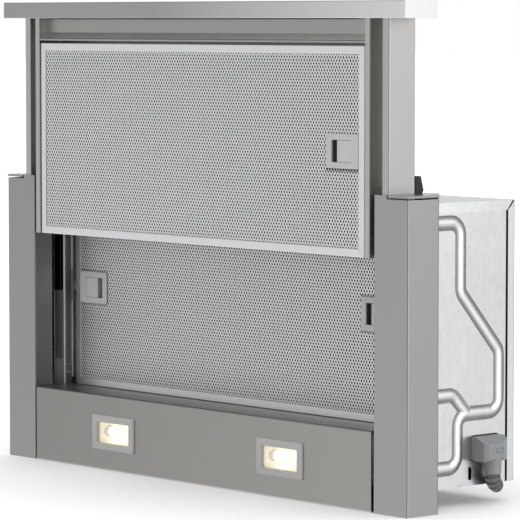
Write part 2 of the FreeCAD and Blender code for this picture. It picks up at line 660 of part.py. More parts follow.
def lamp_reflector(x):
    """Pressed dish behind the glass, tapered towards the bulb."""
    start = GLASS_BACK + FIT
    back = start + REFLECTOR_DEPTH

    def section(narrower, wall, y):
        w, h = GLASS_HALF[0] - narrower[0] - wall, GLASS_HALF[1] - narrower[1] - wall
        corners = [(x - w, LAMP_Z - h), (x + w, LAMP_Z - h), (x + w, LAMP_Z + h), (x - w, LAMP_Z + h)]
        return rounded_wire(corners, [REFLECTOR_TURN] * 4, "Y", y)
    outer = Part.makeLoft([section((0, 0), 0, start), section(REFLECTOR_TAPER, 0, back)], True)
    inner = Part.makeLoft([section((0, 0), SHEET, start - SHEET),
                           section(REFLECTOR_TAPER, SHEET, back - SHEET)], True)
    nose_hole = cylinder(BULB_R + NOSE_WALL + NOSE_CLEAR, V(x - GLASS_HALF[0], BULB_Y, LAMP_Z), V(1, 0, 0),
                         GLASS_HALF[0])
    return outer.cut(inner).cut(nose_hole)


def lamp_socket(x):
    """Ceramic holder at the inner end of the dish."""
    face = x - GLASS_HALF[0] - NOSE_WALL
    half = SOCKET_SIDE / 2.0
    body = slab((BULB_Y - half, BULB_Y + half), (LAMP_Z - half, LAMP_Z + half), "X",
                face - SOCKET_LENGTH, face, SOCKET_TURN)
    nose = cylinder(BULB_R + NOSE_WALL, V(face, BULB_Y, LAMP_Z), V(1, 0, 0), NOSE_LENGTH)
    return fused([body, nose])


def lamp_bulb(x):
    """Capsule bulb with a domed tip, lying along the dish."""
    start = V(x - GLASS_HALF[0] - NOSE_WALL + NOSE_LENGTH + FIT, BULB_Y, LAMP_Z)
    straight = BULB_LENGTH - BULB_R
    body = cylinder(BULB_R, start, V(1, 0, 0), straight)
    tip = Part.makeSphere(BULB_R, start + V(straight, 0, 0))
    return fused([body, tip])


# ---------------------------------------------------------------- grease filters
def filter_rim(front, bottom, latch_z, sides):
    """Channel-section rim with the latch notches on the listed sides."""
    half, top = FILTER_HALF, bottom + FILTER_HEIGHT
    back = front + FILTER_DEPTH
    shape = slab((-half, half), (bottom, top), "Y", front, back, FILTER_TURN)
    opening = box((-half + FILTER_RIM, half - FILTER_RIM), (front - 1, back + 1),
                  (bottom + FILTER_RIM, top - FILTER_RIM))
    hollow = box((-half + FILTER_WALL, half - FILTER_WALL), (front + FILTER_WALL, back - FILTER_WALL),
                 (bottom + FILTER_WALL, top - FILTER_WALL))
    shape = shape.cut(opening).cut(hollow)
    for s in sides:
        bolt = bolt_tunnel(front, latch_z)
        shape = shape.cut(bolt if s > 0 else mirrored(bolt))
        pocket = latch_pocket(front, latch_z)
        shape = shape.cut(pocket if s > 0 else mirrored(pocket))
    return shape


def mesh_pack(front, bottom, latch_z, sides):
    """Layered expanded-metal pack inside the rim."""
    inset = FILTER_WALL + MESH_CLEAR
    half = FILTER_HALF - inset
    low, high = bottom + inset, bottom + FILTER_HEIGHT - inset
    y = (front + inset, front + FILTER_DEPTH - inset)
    t = MESH_LAYER
    shape = box((-half, half), y, (low, high))
    shape = shape.cut(box((-half + t, half - t), (y[0] + t, y[1] - t), (low + t, high - t)))
    for s in sides:
        pocket = latch_pocket(front, latch_z)
        tunnel = bolt_tunnel(front, latch_z)
        for cut in (pocket, tunnel):
            shape = shape.cut(cut if s > 0 else mirrored(cut))
    return shape


def latch_start():
    """X of a right-hand latch plate's inboard edge."""
    return FILTER_HALF - LATCH_INSET - LATCH_WIDTH


def latch_pocket(front, z):
    """Room for a latch plate in rim and mesh."""
    x = latch_start()
    half = LATCH_HEIGHT / 2.0 + MESH_CLEAR
    return box((x - MESH_CLEAR, x + LATCH_WIDTH + MESH_CLEAR),
               (front - SHEET, front + LATCH_DEPTH + MESH_CLEAR), (z - half, z + half))


def bolt_level(front):
    """Y range of a latch bolt."""
    start = front - LATCH_PROUD + BOLT_SUNK
    return start, start + BOLT_THICK


def bolt_tunnel(front, z):
    """Passage for a latch bolt through the filter's edge."""
    return bolt_room(front, z, (latch_start() + LATCH_WIDTH / 2.0, FILTER_HALF + SHEET))


def bolt_room(front, z, x):
    """Clear space round a latch bolt between two values of X."""
    low, high = bolt_level(front)
    half = BOLT_HEIGHT / 2.0 + TAB_GAP
    return box(x, (low - TAB_GAP, high + TAB_GAP), (z - half, z + half))


def latch_plate(front, z):
    """Right-hand finger plate with its window, tab bed and bolt passage."""
    x, face = latch_start(), front - LATCH_PROUD
    floor = face + LATCH_DEPTH - LATCH_WALL
    half, half_window = LATCH_HEIGHT / 2.0, WINDOW_HEIGHT / 2.0
    body = slab((x, x + LATCH_WIDTH), (z - half, z + half), "Y", face, face + LATCH_DEPTH, LATCH_TURN)
    window = slab((x + WINDOW_START, x + WINDOW_START + WINDOW_LENGTH), (z - half_window, z + half_window),
                  "Y", face - SHEET, floor, WINDOW_TURN)
    return body.cut(window).cut(bolt_tunnel(front, z))


def latch_tab(front, z):
    """Right-hand sliding tab with its bolt, which passes the filter's edge."""
    x = latch_start() + WINDOW_START + WINDOW_LENGTH - TAB_LENGTH - TAB_GAP
    face = front - LATCH_PROUD + TAB_SUNK
    half = WINDOW_HEIGHT / 2.0 - TAB_GAP
    depth = LATCH_DEPTH - LATCH_WALL - TAB_SUNK - TAB_GAP
    body = slab((x, x + TAB_LENGTH), (z - half, z + half), "Y", face, face + depth, TAB_TURN)
    half_bolt = BOLT_HEIGHT / 2.0
    bolt = box((x + TAB_LENGTH / 2.0, FILTER_HALF + BOLT_REACH), bolt_level(front),
               (z - half_bolt, z + half_bolt))
    return fused([body, bolt])


# ---------------------------------------------------------------- slide
def channel_outline(wall):
    """Section of a side channel, drawn in by a wall."""
    ridge = CHANNEL_INNER + CHANNEL_RIDGE
    flank = ridge + CHANNEL_GROOVE
    w = wall
    return [(CHANNEL_INNER + w, CHANNEL_FRONT + w), (ridge - w, CHANNEL_FRONT + w),
            (ridge - w, GROOVE_FLOOR + w), (flank + w, GROOVE_FLOOR + w),
            (flank + w, CHANNEL_FLANK + w), (CHANNEL_OUTER - w, CHANNEL_FLANK + w),
            (CHANNEL_OUTER - w, CHANNEL_BACK - w), (CHANNEL_INNER + w, CHANNEL_BACK - w)]


def side_channel():
    """Right-hand side channel: closed roll-formed section whose groove clears the post's cheek."""
    wire = rounded_wire(channel_outline(0.0), CHANNEL_TURNS, "Z", UPPER_BOTTOM)
    outer = run_along(wire, "Z", BAR_BOTTOM - UPPER_BOTTOM)
    inner = plate(channel_outline(SHEET), "Z", UPPER_BOTTOM - SHEET, BAR_BOTTOM + SHEET, MESH_CLEAR)
    keeper = bolt_room(UPPER_FRONT, UPPER_BOTTOM + UPPER_LATCH_Z,
                       (CHANNEL_INNER - SHEET, CHANNEL_INNER + CHANNEL_RIDGE - 2 * SHEET))
    return outer.cut(inner).cut(keeper)


def handle_bar():
    """Folded handle bar, closed at its ends and open along its underside."""
    y = (BAR_FRONT, BAR_FRONT + BAR_DEPTH)
    outer = box((-HALF, HALF), y, (BAR_BOTTOM, BAR_TOP))
    outer = outer.makeFillet(BAR_TURN, [e for e in outer.Edges if e.Length > WIDTH - SHEET])
    w, lip = BAR_WALL, BAR_LIP
    inner = box((-HALF + w, HALF - w), (y[0] + w, y[1] - w), (BAR_BOTTOM + w, BAR_TOP - w))
    slot = box((-HALF + lip, HALF - lip), (y[0] + lip, CHANNEL_BACK - lip),
               (BAR_BOTTOM - w, BAR_BOTTOM + 2 * w))
    bridge = box((CHANNEL_INNER - BAR_BRIDGE, HALF), (y[0] + w, y[1] - w), (BAR_BOTTOM, BAR_BOTTOM + w))
    return outer.cut(inner).cut(slot).fuse(bridge).fuse(mirrored(bridge)).removeSplitter()


def cross_member():
    """Folded member under the bar, with the pull recess and the lip over the upper filter."""
    lip_top = MEMBER_BOTTOM + MEMBER_LIP
    foot = lip_top + MEMBER_STEP
    path = [(CHANNEL_BACK - MEMBER_SHORT, BAR_BOTTOM), (MEMBER_WEB, BAR_BOTTOM),
            (MEMBER_WEB, foot + MEMBER_SLOPE), (MEMBER_FOOT, foot),
            (MEMBER_FRONT, lip_top), (MEMBER_FRONT, MEMBER_BOTTOM),
            (MEMBER_RETURN, MEMBER_BOTTOM)]
    return folded(path, SHEET, "X", -CHANNEL_INNER, CHANNEL_INNER, MEMBER_BEND)


def slide_back():
    """Back sheet between the side channels, stiffened by two pressed ribs."""
    y = CHANNEL_BACK - SHEET
    foot, top = UPPER_BOTTOM, BAR_BOTTOM - 2 * SHEET
    half = CHANNEL_INNER - FIT
    rib = 2 * BACK_RIB_SLOPE + BACK_RIB_LAND
    path = [(y - BACK_LIP, foot), (y, foot)]
    for start in (foot + BACK_RIB_FOOT, top - BACK_RIB_HEAD - rib):
        path += [(y, start), (y - BACK_RIB_DEPTH, start + BACK_RIB_SLOPE),
                 (y - BACK_RIB_DEPTH, start + BACK_RIB_SLOPE + BACK_RIB_LAND), (y, start + rib)]
    path.append((y, top))
    return folded(path[::-1], SHEET, "X", -half, half, BACK_BEND)


# ---------------------------------------------------------------- ball slides
def outer_rail():
    """Right-hand outer rail: channel with inturned lips, open towards the slide."""
    half = RAIL_WIDTH / 2.0
    back = RAIL_BACK
    front = CHANNEL_BACK + RAIL_FRONT_GAP
    lip = RAIL_SHEET + RAIL_LIP
    path = [(RAIL_X + half - lip, front), (RAIL_X + half, front), (RAIL_X + half, back),
            (RAIL_X - half, back), (RAIL_X - half, front), (RAIL_X - half + lip, front)]
    return folded(path, RAIL_SHEET, "Z", OUTER_RAIL_Z[0], OUTER_RAIL_Z[1], RAIL_BEND)


def inner_rail():
    """Right-hand inner rail: its legs stand on the back of the side channel."""
    half = INNER_RAIL_WIDTH / 2.0
    back = CHANNEL_BACK + RAIL_DEPTH - INNER_RAIL_SHORT
    path = [(RAIL_X + half, CHANNEL_BACK), (RAIL_X + half, back), (RAIL_X - half, back),
            (RAIL_X - half, CHANNEL_BACK)]
    return folded(path, RAIL_SHEET, "Z", INNER_RAIL_Z[0], INNER_RAIL_Z[1], INNER_RAIL_BEND)


def ball_cage():
    """Right-hand cage: a strip behind the inner rail whose two arms hold the balls."""
    ball_x = (INNER_RAIL_WIDTH / 2.0 + RAIL_WIDTH / 2.0 - RAIL_SHEET) / 2.0
    ball_y = CHANNEL_BACK + RAIL_DEPTH / 2.0 + BALL_SET_BACK
    side = ball_x - CAGE_SHEET / 2.0
    back = CHANNEL_BACK + RAIL_DEPTH - CAGE_GAP
    path = [(RAIL_X - side, ball_y - CAGE_ARM), (RAIL_X - side, back), (RAIL_X + side, back),
            (RAIL_X + side, ball_y - CAGE_ARM)]
    cage = folded(path, CAGE_SHEET, "Z", CAGE_Z[0], CAGE_Z[1], CAGE_BEND)
    pitch = (CAGE_Z[1] - CAGE_Z[0] - 2 * BALL_END) / (BALL_COUNT - 1)
    for i in range(BALL_COUNT):
        z = CAGE_Z[0] + BALL_END + i * pitch
        for s in (-1, 1):
            cage = cage.fuse(Part.makeSphere(BALL_R, V(RAIL_X + s * ball_x, ball_y, z)))
    return cage


# ---------------------------------------------------------------- box
def bead_radius():
    """Radius of the arc that spans the bead's width at its height."""
    return (BEAD_WIDTH ** 2 / 4.0 + BEAD_HEIGHT ** 2) / (2.0 * BEAD_HEIGHT)


def bead_tool(points, radius):
    """Round bar along the bead's middle line, with a rounded end where the bead starts."""
    depth = BOX_HALF + BEAD_HEIGHT - bead_radius()
    corners = [V(depth, y, z) for y, z in points]
    edges, start = [], corners[0]
    for i in range(1, len(corners) - 1):
        a = (corners[i - 1] - corners[i]).normalize()
        b = (corners[i + 1] - corners[i]).normalize()
        half = a.getAngle(b) / 2.0
        reach = BEAD_TURN / math.tan(half)
        middle = corners[i] + (a + b).normalize() * (BEAD_TURN / math.sin(half) - BEAD_TURN)
        edges.append(Part.LineSegment(start, corners[i] + a * reach).toShape())
        edges.append(Part.Arc(corners[i] + a * reach, middle, corners[i] + b * reach).toShape())
        start = corners[i] + b * reach
    edges.append(Part.LineSegment(start, corners[-1]).toShape())
    spine = Part.Wire(edges)
    along = (corners[1] - corners[0]).normalize()
    section = Part.Wire(Part.Circle(corners[0], along, radius).toShape())
    bar = spine.makePipeShell([section], True, False)
    bar = bar.fuse(Part.makeSphere(radius, corners[0]))
    return bar.fuse(Part.makeSphere(radius, corners[-1]))


def bead_paths():
    """Middle lines of the long bead and of its branch, as (Y, Z) points."""
    upper, lower = BEAD_SLANT_Z
    main = [(BEAD_START, BEAD_TOP_Z), (BEAD_FRONT_Y, BEAD_TOP_Z), (BEAD_FRONT_Y, upper), (BEAD_REAR_Y, lower),
            (BEAD_REAR_Y, BEAD_CROSS_Z), (BEAD_FOOT_Y, BEAD_CROSS_Z), (BEAD_FOOT_Y, BEAD_FOOT_Z),
            (BEAD_START, BEAD_FOOT_Z)]
    rear, front = BEAD_BRANCH_Y
    level = BEAD_CROSS_Z + BEAD_BRANCH_RISE
    return main, [(rear, BEAD_CROSS_Z), (front, level), (BEAD_START, level)]


def corner_mitre(start, x):
    """Wedge above the slanting joint between a side panel's band and the rear cover's lip."""
    foot = BOX_TOP - BAND_HEIGHT
    return plate([(start, foot), (start + BAND_HEIGHT, BOX_TOP), (start, BOX_TOP)], "X", x[0], x[1])


def side_panel():
    """Right-hand side panel: flat sheet with a leaning band, mitred corner and stamped bead."""
    path = [(BOX_HALF, BOX_BOTTOM), (BOX_HALF, BOX_TOP - BAND_HEIGHT), (BOX_HALF - BAND_LEAN, BOX_TOP)]
    shape = folded(path, SHEET, "Y", BOX_FRONT, PANEL_REAR, TIGHT_BEND)
    mitre = corner_mitre(PANEL_REAR, (BOX_HALF - 10 * SHEET, BOX_HALF + SHEET))
    band = folded(path[1:], SHEET, "Y", PANEL_REAR - SHEET, PANEL_REAR + BAND_HEIGHT, TIGHT_BEND)
    shape = fused([shape, band.common(mitre)])
    outside = box((BOX_HALF - SHEET, BOX_HALF + 2 * BEAD_HEIGHT), (0, BOX_REAR), (0, BOX_TOP))
    solids = [bead_tool(points, bead_radius()) for points in bead_paths()]
    hollows = [bead_tool(points, bead_radius() - SHEET) for points in bead_paths()]
    for bar in solids:
        shape = shape.fuse(bar.common(outside))
    for bar in hollows:
        shape = shape.cut(bar)
    return shape.removeSplitter()


def panel_span():
    """X range that passes right through a right-hand side panel and its bead."""
    return BOX_HALF - 2 * BEAD_HEIGHT, BOX_HALF + 2 * BEAD_HEIGHT


def side_openings(shape):
    """Fixing slot and cable notch near the foot of a side panel."""
    x = panel_span()
    shape = shape.cut(box(x, SLOT_Y, SLOT_Z))
    return shape.cut(cylinder(NOTCH_R, V(x[0], NOTCH_Y, BOX_BOTTOM), V(1, 0, 0), x[1] - x[0]))


def inlet_cut(grow, x_low, x_high):
    """Rounded opening of the mains inlet, grown by the given amount."""
    return slab((INLET_Y[0] - grow, INLET_Y[1] + grow), (INLET_Z[0] - grow, INLET_Z[1] + grow), "X",
                x_low, x_high, INLET_TURN + grow)


def box_bottom():
    """Lower wall of the box, with a rear flange for the cover screws."""
    half = BOX_HALF - SHEET - BEND
    path = [(COVER_REAR_FACE, BOX_BOTTOM + COVER_FLANGE), (COVER_REAR_FACE, BOX_BOTTOM),
            (SHELF_FRONT, BOX_BOTTOM)]
    shape = folded(path[::-1], SHEET, "X", -half, half)
    return cover_screw_holes(shape, COVER_SCREW_R)


def box_top():
    """Upper wall of the box, with a rear flange for the cover screws."""
    half = BOX_HALF - SHEET - BAND_LEAN - FIT
    path = [(COVER_REAR_FACE, BOX_TOP - COVER_FLANGE), (COVER_REAR_FACE, BOX_TOP), (SHELF_FRONT, BOX_TOP)]
    shape = folded(path, SHEET, "X", -half, half)
    return cover_screw_holes(shape, COVER_SCREW_R)


def cover_screw_places():
    """Centres of the rear cover's screws."""
    low, high = BOX_BOTTOM + COVER_SCREW_INSET + SHEET, BOX_TOP - COVER_SCREW_INSET - SHEET
    outer = BOX_HALF - COVER_SCREW_SIDE
    return [(x, z) for x in (-outer, -COVER_SCREW_MIDDLE, COVER_SCREW_MIDDLE, outer) for z in (low, high)]


def cover_screw_holes(shape, radius):
    """Cut the cover's screw holes."""
    for x, z in cover_screw_places():
        shape = shape.cut(cylinder(radius, V(x, BOX_REAR - 4 * SHEET, z), REARWARD, 8 * SHEET))
    return shape


def rear_cover():
    """Rear cover: back sheet, forward side lips with mitred tops and the hole for the outlet."""
    lip_front = BOX_REAR - REAR_LIP
    path = [(-BOX_HALF, lip_front), (-BOX_HALF, BOX_REAR), (BOX_HALF, BOX_REAR), (BOX_HALF, lip_front)]
    shape = folded(path[::-1], SHEET, "Z", BOX_BOTTOM, BOX_TOP)
    for s in (-1, 1):
        span = sorted((s * (BOX_HALF - 3 * SHEET), s * (BOX_HALF + SHEET)))
        shape = shape.cut(corner_mitre(lip_front, span))
    shape = cover_screw_holes(shape, COVER_SCREW_R)
    pitch = (BOX_TOP - BOX_BOTTOM - 2 * COVER_RIB_END) / (COVER_RIBS - 1)
    for i in range(COVER_RIBS):
        z = BOX_BOTTOM + COVER_RIB_END + i * pitch
        rib = slab((COVER_RIB_SIDE - BOX_HALF, FAN_X + COVER_RIB_REACH),
                   (z - COVER_RIB_HALF, z + COVER_RIB_HALF), "Y",
                   BOX_REAR - SHEET / 2.0, BOX_REAR + COVER_RIB_PROUD, COVER_RIB_HALF - SEAT)
        shape = shape.fuse(rib)
    start = V(OUTLET_X, BOX_REAR - 10 * SHEET, OUTLET_Z)
    return shape.cut(cylinder(OUTLET_R - OUTLET_WALL, start, REARWARD, 20 * SHEET))


def cover_screws():
    """Pan-head screws of the rear cover, as one group of separate solids."""
    screws = []
    for x, z in cover_screw_places():
        head = cylinder(COVER_SCREW_HEAD_R, V(x, BOX_REAR, z), REARWARD, COVER_SCREW_HEAD)
        rim = [e for e in head.Edges if abs(e.BoundBox.YMin - BOX_REAR - COVER_SCREW_HEAD) < 1e-6]
        head = head.makeChamfer(COVER_SCREW_TURN, rim)
        foot = V(x, BOX_REAR - COVER_SCREW_LENGTH, z)
        shank = cylinder(COVER_SCREW_R - FIT, foot, REARWARD, COVER_SCREW_LENGTH)
        screws.append(fused([head, shank]))
    return Part.makeCompound(screws)


def intake_opening(grow, front, back):
    """Rounded block through the intake opening, grown by a wall."""
    return slab((-INTAKE_HALF - grow, INTAKE_HALF + grow), (INTAKE_Z[0] - grow, INTAKE_Z[1] + grow), "Y",
                front, back, INTAKE_TURN + grow)


def latch_keeper():
    """Right-hand keeper with the hole that a bolt of the lower filter enters."""
    z = LOWER_BOTTOM + LOWER_LATCH_Z
    path = [(KEEPER_X, LOWER_FRONT - KEEPER_REACH), (KEEPER_X, INTAKE_Y), (KEEPER_X + KEEPER_FOOT, INTAKE_Y)]
    keeper = folded(path, SHEET, "Z", z - KEEPER_HALF, z + KEEPER_HALF)
    return keeper.cut(bolt_room(LOWER_FRONT, z, (KEEPER_X - 2 * SHEET, KEEPER_X + 2 * SHEET)))


def rail_seat():
    """Right-hand hat section that carries the outer rail."""
    half = RAIL_WIDTH / 2.0 + SHEET
    path = [(RAIL_X - half, INTAKE_Y), (RAIL_X - half, RAIL_BACK), (RAIL_X + half, RAIL_BACK),
            (RAIL_X + half, INTAKE_Y)]
    return folded(path, SHEET, "Z", RAIL_SEAT_Z[0], RAIL_SEAT_Z[1])


def intake_frame():
    """Folded frame behind the lower filter, with its latches' keepers and the seats of the outer rails."""
    half = BOX_HALF - SHEET - FIT
    low, knee, high = BOX_BOTTOM + SHEET, BOX_TOP - BAND_HEIGHT, BOX_TOP - SHEET - SEAT
    narrow = half - BAND_LEAN
    outline = [(-half, low), (half, low), (half, knee), (narrow, high), (-narrow, high), (-half, knee)]
    shape = plate(outline, "Y", INTAKE_Y, INTAKE_Y + SHEET)
    shape = shape.fuse(intake_opening(SHEET, INTAKE_Y - INTAKE_FLANGE + SHEET, INTAKE_Y + SHEET))
    shape = shape.cut(intake_opening(0.0, INTAKE_Y - INTAKE_FLANGE, INTAKE_Y + 2 * SHEET))
    keeper, seat = latch_keeper(), rail_seat()
    return fused([shape, keeper, mirrored(keeper), seat, mirrored(seat)])


# ---------------------------------------------------------------- blower
def scroll_outline(grow):
    """Spiral outline joined to the outlet chamber, as a closed wire grown outwards."""
    points = []
    first, last = SCROLL_ANGLES
    for i in range(SCROLL_STEPS + 1):
        share = i / SCROLL_STEPS
        angle = math.radians(first + (last - first) * share)
        radius = SCROLL_START_R + (SCROLL_END_R - SCROLL_START_R) * share + grow
        points.append(V(FAN_X + radius * math.cos(angle), 0, FAN_Z + radius * math.sin(angle)))
    curve = Part.BSplineCurve()
    curve.interpolate(points)
    inside = OUTLET_X - PLENUM_HALF + PLENUM_TURN + SCROLL_WALL * 4
    duct_end = V(inside, 0, points[-1].z)
    duct_foot = V(inside, 0, points[0].z)
    edges = [curve.toShape(), Part.LineSegment(points[-1], duct_end).toShape(),
             Part.LineSegment(duct_end, duct_foot).toShape(),
             Part.LineSegment(duct_foot, points[0]).toShape()]
    return Part.Wire(edges)


def chamber(grow, front, back):
    """Rounded block of the chamber in front of the outlet."""
    half = PLENUM_HALF + grow
    return slab((OUTLET_X - half, OUTLET_X + half), (OUTLET_Z - half, OUTLET_Z + half), "Y", front, back,
                PLENUM_TURN + grow)


def scroll_body(grow, front, back, tail):
    """Solid filling the scroll to its back and the outlet chamber to its tail."""
    wire = scroll_outline(grow)
    wire.translate(V(0, front, 0))
    spiral = Part.Face(wire).extrude(V(0, back - front, 0))
    return spiral.fuse(chamber(grow, front, tail))


def blower_scroll():
    """Moulded blower housing: spiral wall, back wall with the motor hole and outlet chamber."""
    outer = scroll_body(0.0, SCROLL_FRONT, SCROLL_BACK, PLENUM_BACK)
    inner = scroll_body(-SCROLL_WALL, SCROLL_FRONT - SHEET, SCROLL_BACK - SCROLL_WALL, PLENUM_BACK + SHEET)
    hole = cylinder(MOTOR_R + SEAT, fan_axis(SCROLL_BACK - 2 * SCROLL_WALL), REARWARD, 4 * SCROLL_WALL)
    return outer.cut(inner).cut(hole)


def scroll_cover():
    """Front plate of the blower housing with a rounded inlet ring."""
    front = SCROLL_FRONT - SCROLL_WALL
    wire = scroll_outline(0.0)
    wire.translate(V(0, front, 0))
    shape = Part.Face(wire).extrude(V(0, SCROLL_WALL, 0)).fuse(chamber(0.0, front, SCROLL_FRONT))
    shape = shape.cut(cylinder(INLET_R, fan_axis(front - SHEET), REARWARD, SCROLL_WALL + 2 * SHEET))
    middle_r = INLET_R + INLET_LIP_R
    roll = Part.makeTorus(middle_r, INLET_LIP_R, fan_axis(SCROLL_FRONT), REARWARD)
    roll = roll.cut(Part.makeTorus(middle_r, INLET_LIP_R - SCROLL_WALL, fan_axis(SCROLL_FRONT), REARWARD))
    lip = roll.common(cylinder(middle_r, fan_axis(SCROLL_FRONT), REARWARD, 2 * INLET_LIP_R))
    return fused([shape, lip])


def fan_levels():
    """Y of the fan's front rim and of its back disc."""
    return SCROLL_FRONT + FAN_CLEAR + FAN_LIP_CLEAR, SCROLL_BACK - SCROLL_WALL - FAN_CLEAR


def fan_blade(index):
    """One forward-curved blade: a thin circular arc extruded along the axis."""
    front, back = fan_levels()
    start, end = V(FAN_R - BLADE_CHORD, 0, 0), V(FAN_R - BLADE_SHORT, 0, BLADE_SAG * 2.0)
    middle = (start + end) * 0.5 + V(0, 0, -BLADE_SAG)
    shift = V(0, 0, BLADE_THICK)
    edges = [Part.Arc(start, middle, end).toShape(), Part.LineSegment(end, end + shift).toShape(),
             Part.Arc(end + shift, middle + shift, start + shift).toShape(),
             Part.LineSegment(start + shift, start).toShape()]
    blade = Part.Face(Part.Wire(edges)).extrude(V(0, back - front, 0))
    blade.rotate(V(0, 0, 0), REARWARD, 360.0 * index / BLADE_COUNT)
    blade.translate(fan_axis(front))
    return blade


def impeller():
    """Drum fan: front rim, blades, back disc and hub on the shaft."""
    front, back = fan_levels()
    shape = ring(FAN_R, FAN_R - BLADE_CHORD * FAN_RIM_SHARE, fan_axis(front - FAN_DISC), REARWARD,
                 FAN_DISC + FIT)
    for i in range(BLADE_COUNT):
        shape = shape.fuse(fan_blade(i))
    disc = cylinder(FAN_R, fan_axis(back - FIT), REARWARD, FAN_DISC + FIT)
    cone = Part.makeCone(SHAFT_R + HUB_WALL, FAN_HUB_R, HUB_LENGTH, fan_axis(back - HUB_LENGTH), REARWARD)
    bore = cylinder(SHAFT_R, fan_axis(front), REARWARD, back - front + 2 * FAN_DISC)
    return shape.fuse(disc).fuse(cone).cut(bore)


def motor_span():
    """Y of the motor's front and rear shields."""
    return fan_levels()[1] + FAN_DISC + MOTOR_FRONT_GAP, MOTOR_BACK


def motor_rotor():
    """Steel shaft through both bearings, with the squirrel-cage rotor between them."""
    front_y, back_y = motor_span()
    shaft_start = fan_levels()[1] - HUB_LENGTH
    shaft = cylinder(SHAFT_R, fan_axis(shaft_start), REARWARD, back_y - shaft_start - SHAFT_SHORT)
    end = SHIELD_THICK + BEARING_LENGTH + ROTOR_GAP
    core = cylinder(BEARING_R + BEARING_SEAT, fan_axis(front_y + end), REARWARD, back_y - front_y - 2 * end)
    return fused([shaft, core])


def motor_shield(rear):
    """Cast end shield with a bearing seat and ventilation slots."""
    front_y, back_y = motor_span()
    depth = (back_y - front_y) / 2.0 - SHIELD_SPLIT
    start = fan_axis(back_y - depth if rear else front_y)
    shape = ring(MOTOR_R, MOTOR_CORE_R + CORE_LAP, start, REARWARD, depth)
    base = back_y - SHIELD_THICK if rear else front_y
    shape = shape.fuse(cylinder(MOTOR_R, fan_axis(base), REARWARD, SHIELD_THICK))
    seat = base - BEARING_LENGTH if rear else base + SHIELD_THICK
    shape = shape.fuse(cylinder(BEARING_R + BEARING_SEAT, fan_axis(seat), REARWARD, BEARING_LENGTH))
    shape = shape.cut(cylinder(BEARING_R, fan_axis(seat), REARWARD, BEARING_LENGTH))
    shape = shape.cut(cylinder(SHAFT_R + SHAFT_HOLE_CLEAR, fan_axis(front_y - SHEET), REARWARD,
                               back_y - front_y + 2 * SHEET))
    ends = (BEARING_R + SHIELD_SLOT_ENDS[0], MOTOR_R - SHIELD_SLOT_ENDS[1])
    for i in range(SHIELD_SLOTS):
        slot = slab(ends, (-SHIELD_SLOT_HALF, SHIELD_SLOT_HALF), "Y",
                    base - SHEET, base + SHIELD_THICK + SHEET, SHIELD_SLOT_HALF - 2 * FIT)
        slot.rotate(V(0, 0, 0), REARWARD, 360.0 * i / SHIELD_SLOTS)
        slot.translate(fan_axis(0))
        shape = shape.cut(slot)
    if not rear:
        for i in range(FOOT_COUNT):
            shape = shape.fuse(motor_arm(i))
    return shape


def foot_place(index, share=1.0):
    """Point of a motor foot's arm on the scroll's back wall; its foot at the full share."""
    angle = math.radians(90.0 + 360.0 * index / FOOT_COUNT)
    reach = (MOTOR_R + FOOT_REACH) * share
    return V(FAN_X + reach * math.cos(angle), SCROLL_BACK, FAN_Z + reach * math.sin(angle))


def motor_arm(index):
    """Arm from the front shield to a foot behind the scroll's back wall."""
    rise = V(0, BUSH_PAD, 0)
    foot, root = foot_place(index) + rise, foot_place(index, ARM_ROOT) + rise
    eye = cylinder(FOOT_R + EYE_WALL, foot, REARWARD, FOOT_THICK)
    along = foot - root
    arm = Part.makeBox(along.Length, FOOT_THICK, ARM_WIDTH, V(0, 0, -ARM_WIDTH / 2.0))
    arm.rotate(V(0, 0, 0), REARWARD, -math.degrees(math.atan2(along.z, along.x)))
    arm.translate(root)
    return eye.fuse(arm).cut(cylinder(FOOT_R / 2.0 + FIT, foot - rise, REARWARD, FOOT_THICK + 2 * BUSH_PAD))


def motor_mounts():
    """Rubber bushes between the motor's feet and the scroll, one group of separate solids."""
    bushes = []
    neck = BUSH_PAD + FOOT_THICK
    for i in range(FOOT_COUNT):
        foot = foot_place(i)
        pad = cylinder(FOOT_R + BUSH_LIP, foot, REARWARD, BUSH_PAD)
        stem = cylinder(FOOT_R / 2.0, foot, REARWARD, neck + BUSH_LIP)
        cap = cylinder(FOOT_R + BUSH_LIP / 2.0, foot + V(0, neck, 0), REARWARD, BUSH_LIP)
        bushes.append(fused([pad, stem, cap]))
    return Part.makeCompound(bushes)


def motor_core():
    """Laminated stator with a round bore and slots."""
    front_y, back_y = motor_span()
    end = SHIELD_THICK + BEARING_LENGTH + SHAFT_SHORT
    start, length = front_y + end, back_y - front_y - 2 * end
    core = ring(MOTOR_CORE_R + CORE_LAP - FIT, BEARING_R + CORE_BORE_WALL, fan_axis(start), REARWARD, length)
    for i in range(CORE_SLOTS):
        slot = cylinder(CORE_SLOT_R, V(CORE_SLOT_REACH, start - SHEET, 0), REARWARD, length + 2 * SHEET)
        slot.rotate(V(0, 0, 0), REARWARD, 360.0 * i / CORE_SLOTS)
        slot.translate(fan_axis(0))
        core = core.cut(slot)
    return core


def shaft_bearings():
    """Front and rear bearings, as one group of separate solids."""
    front_y, back_y = motor_span()
    starts = (front_y + SHIELD_THICK, back_y - SHIELD_THICK - BEARING_LENGTH)
    outer, inner = BEARING_R - FIT / 5.0, SHAFT_R + FIT
    return Part.makeCompound([ring(outer, inner, fan_axis(y), REARWARD, BEARING_LENGTH) for y in starts])


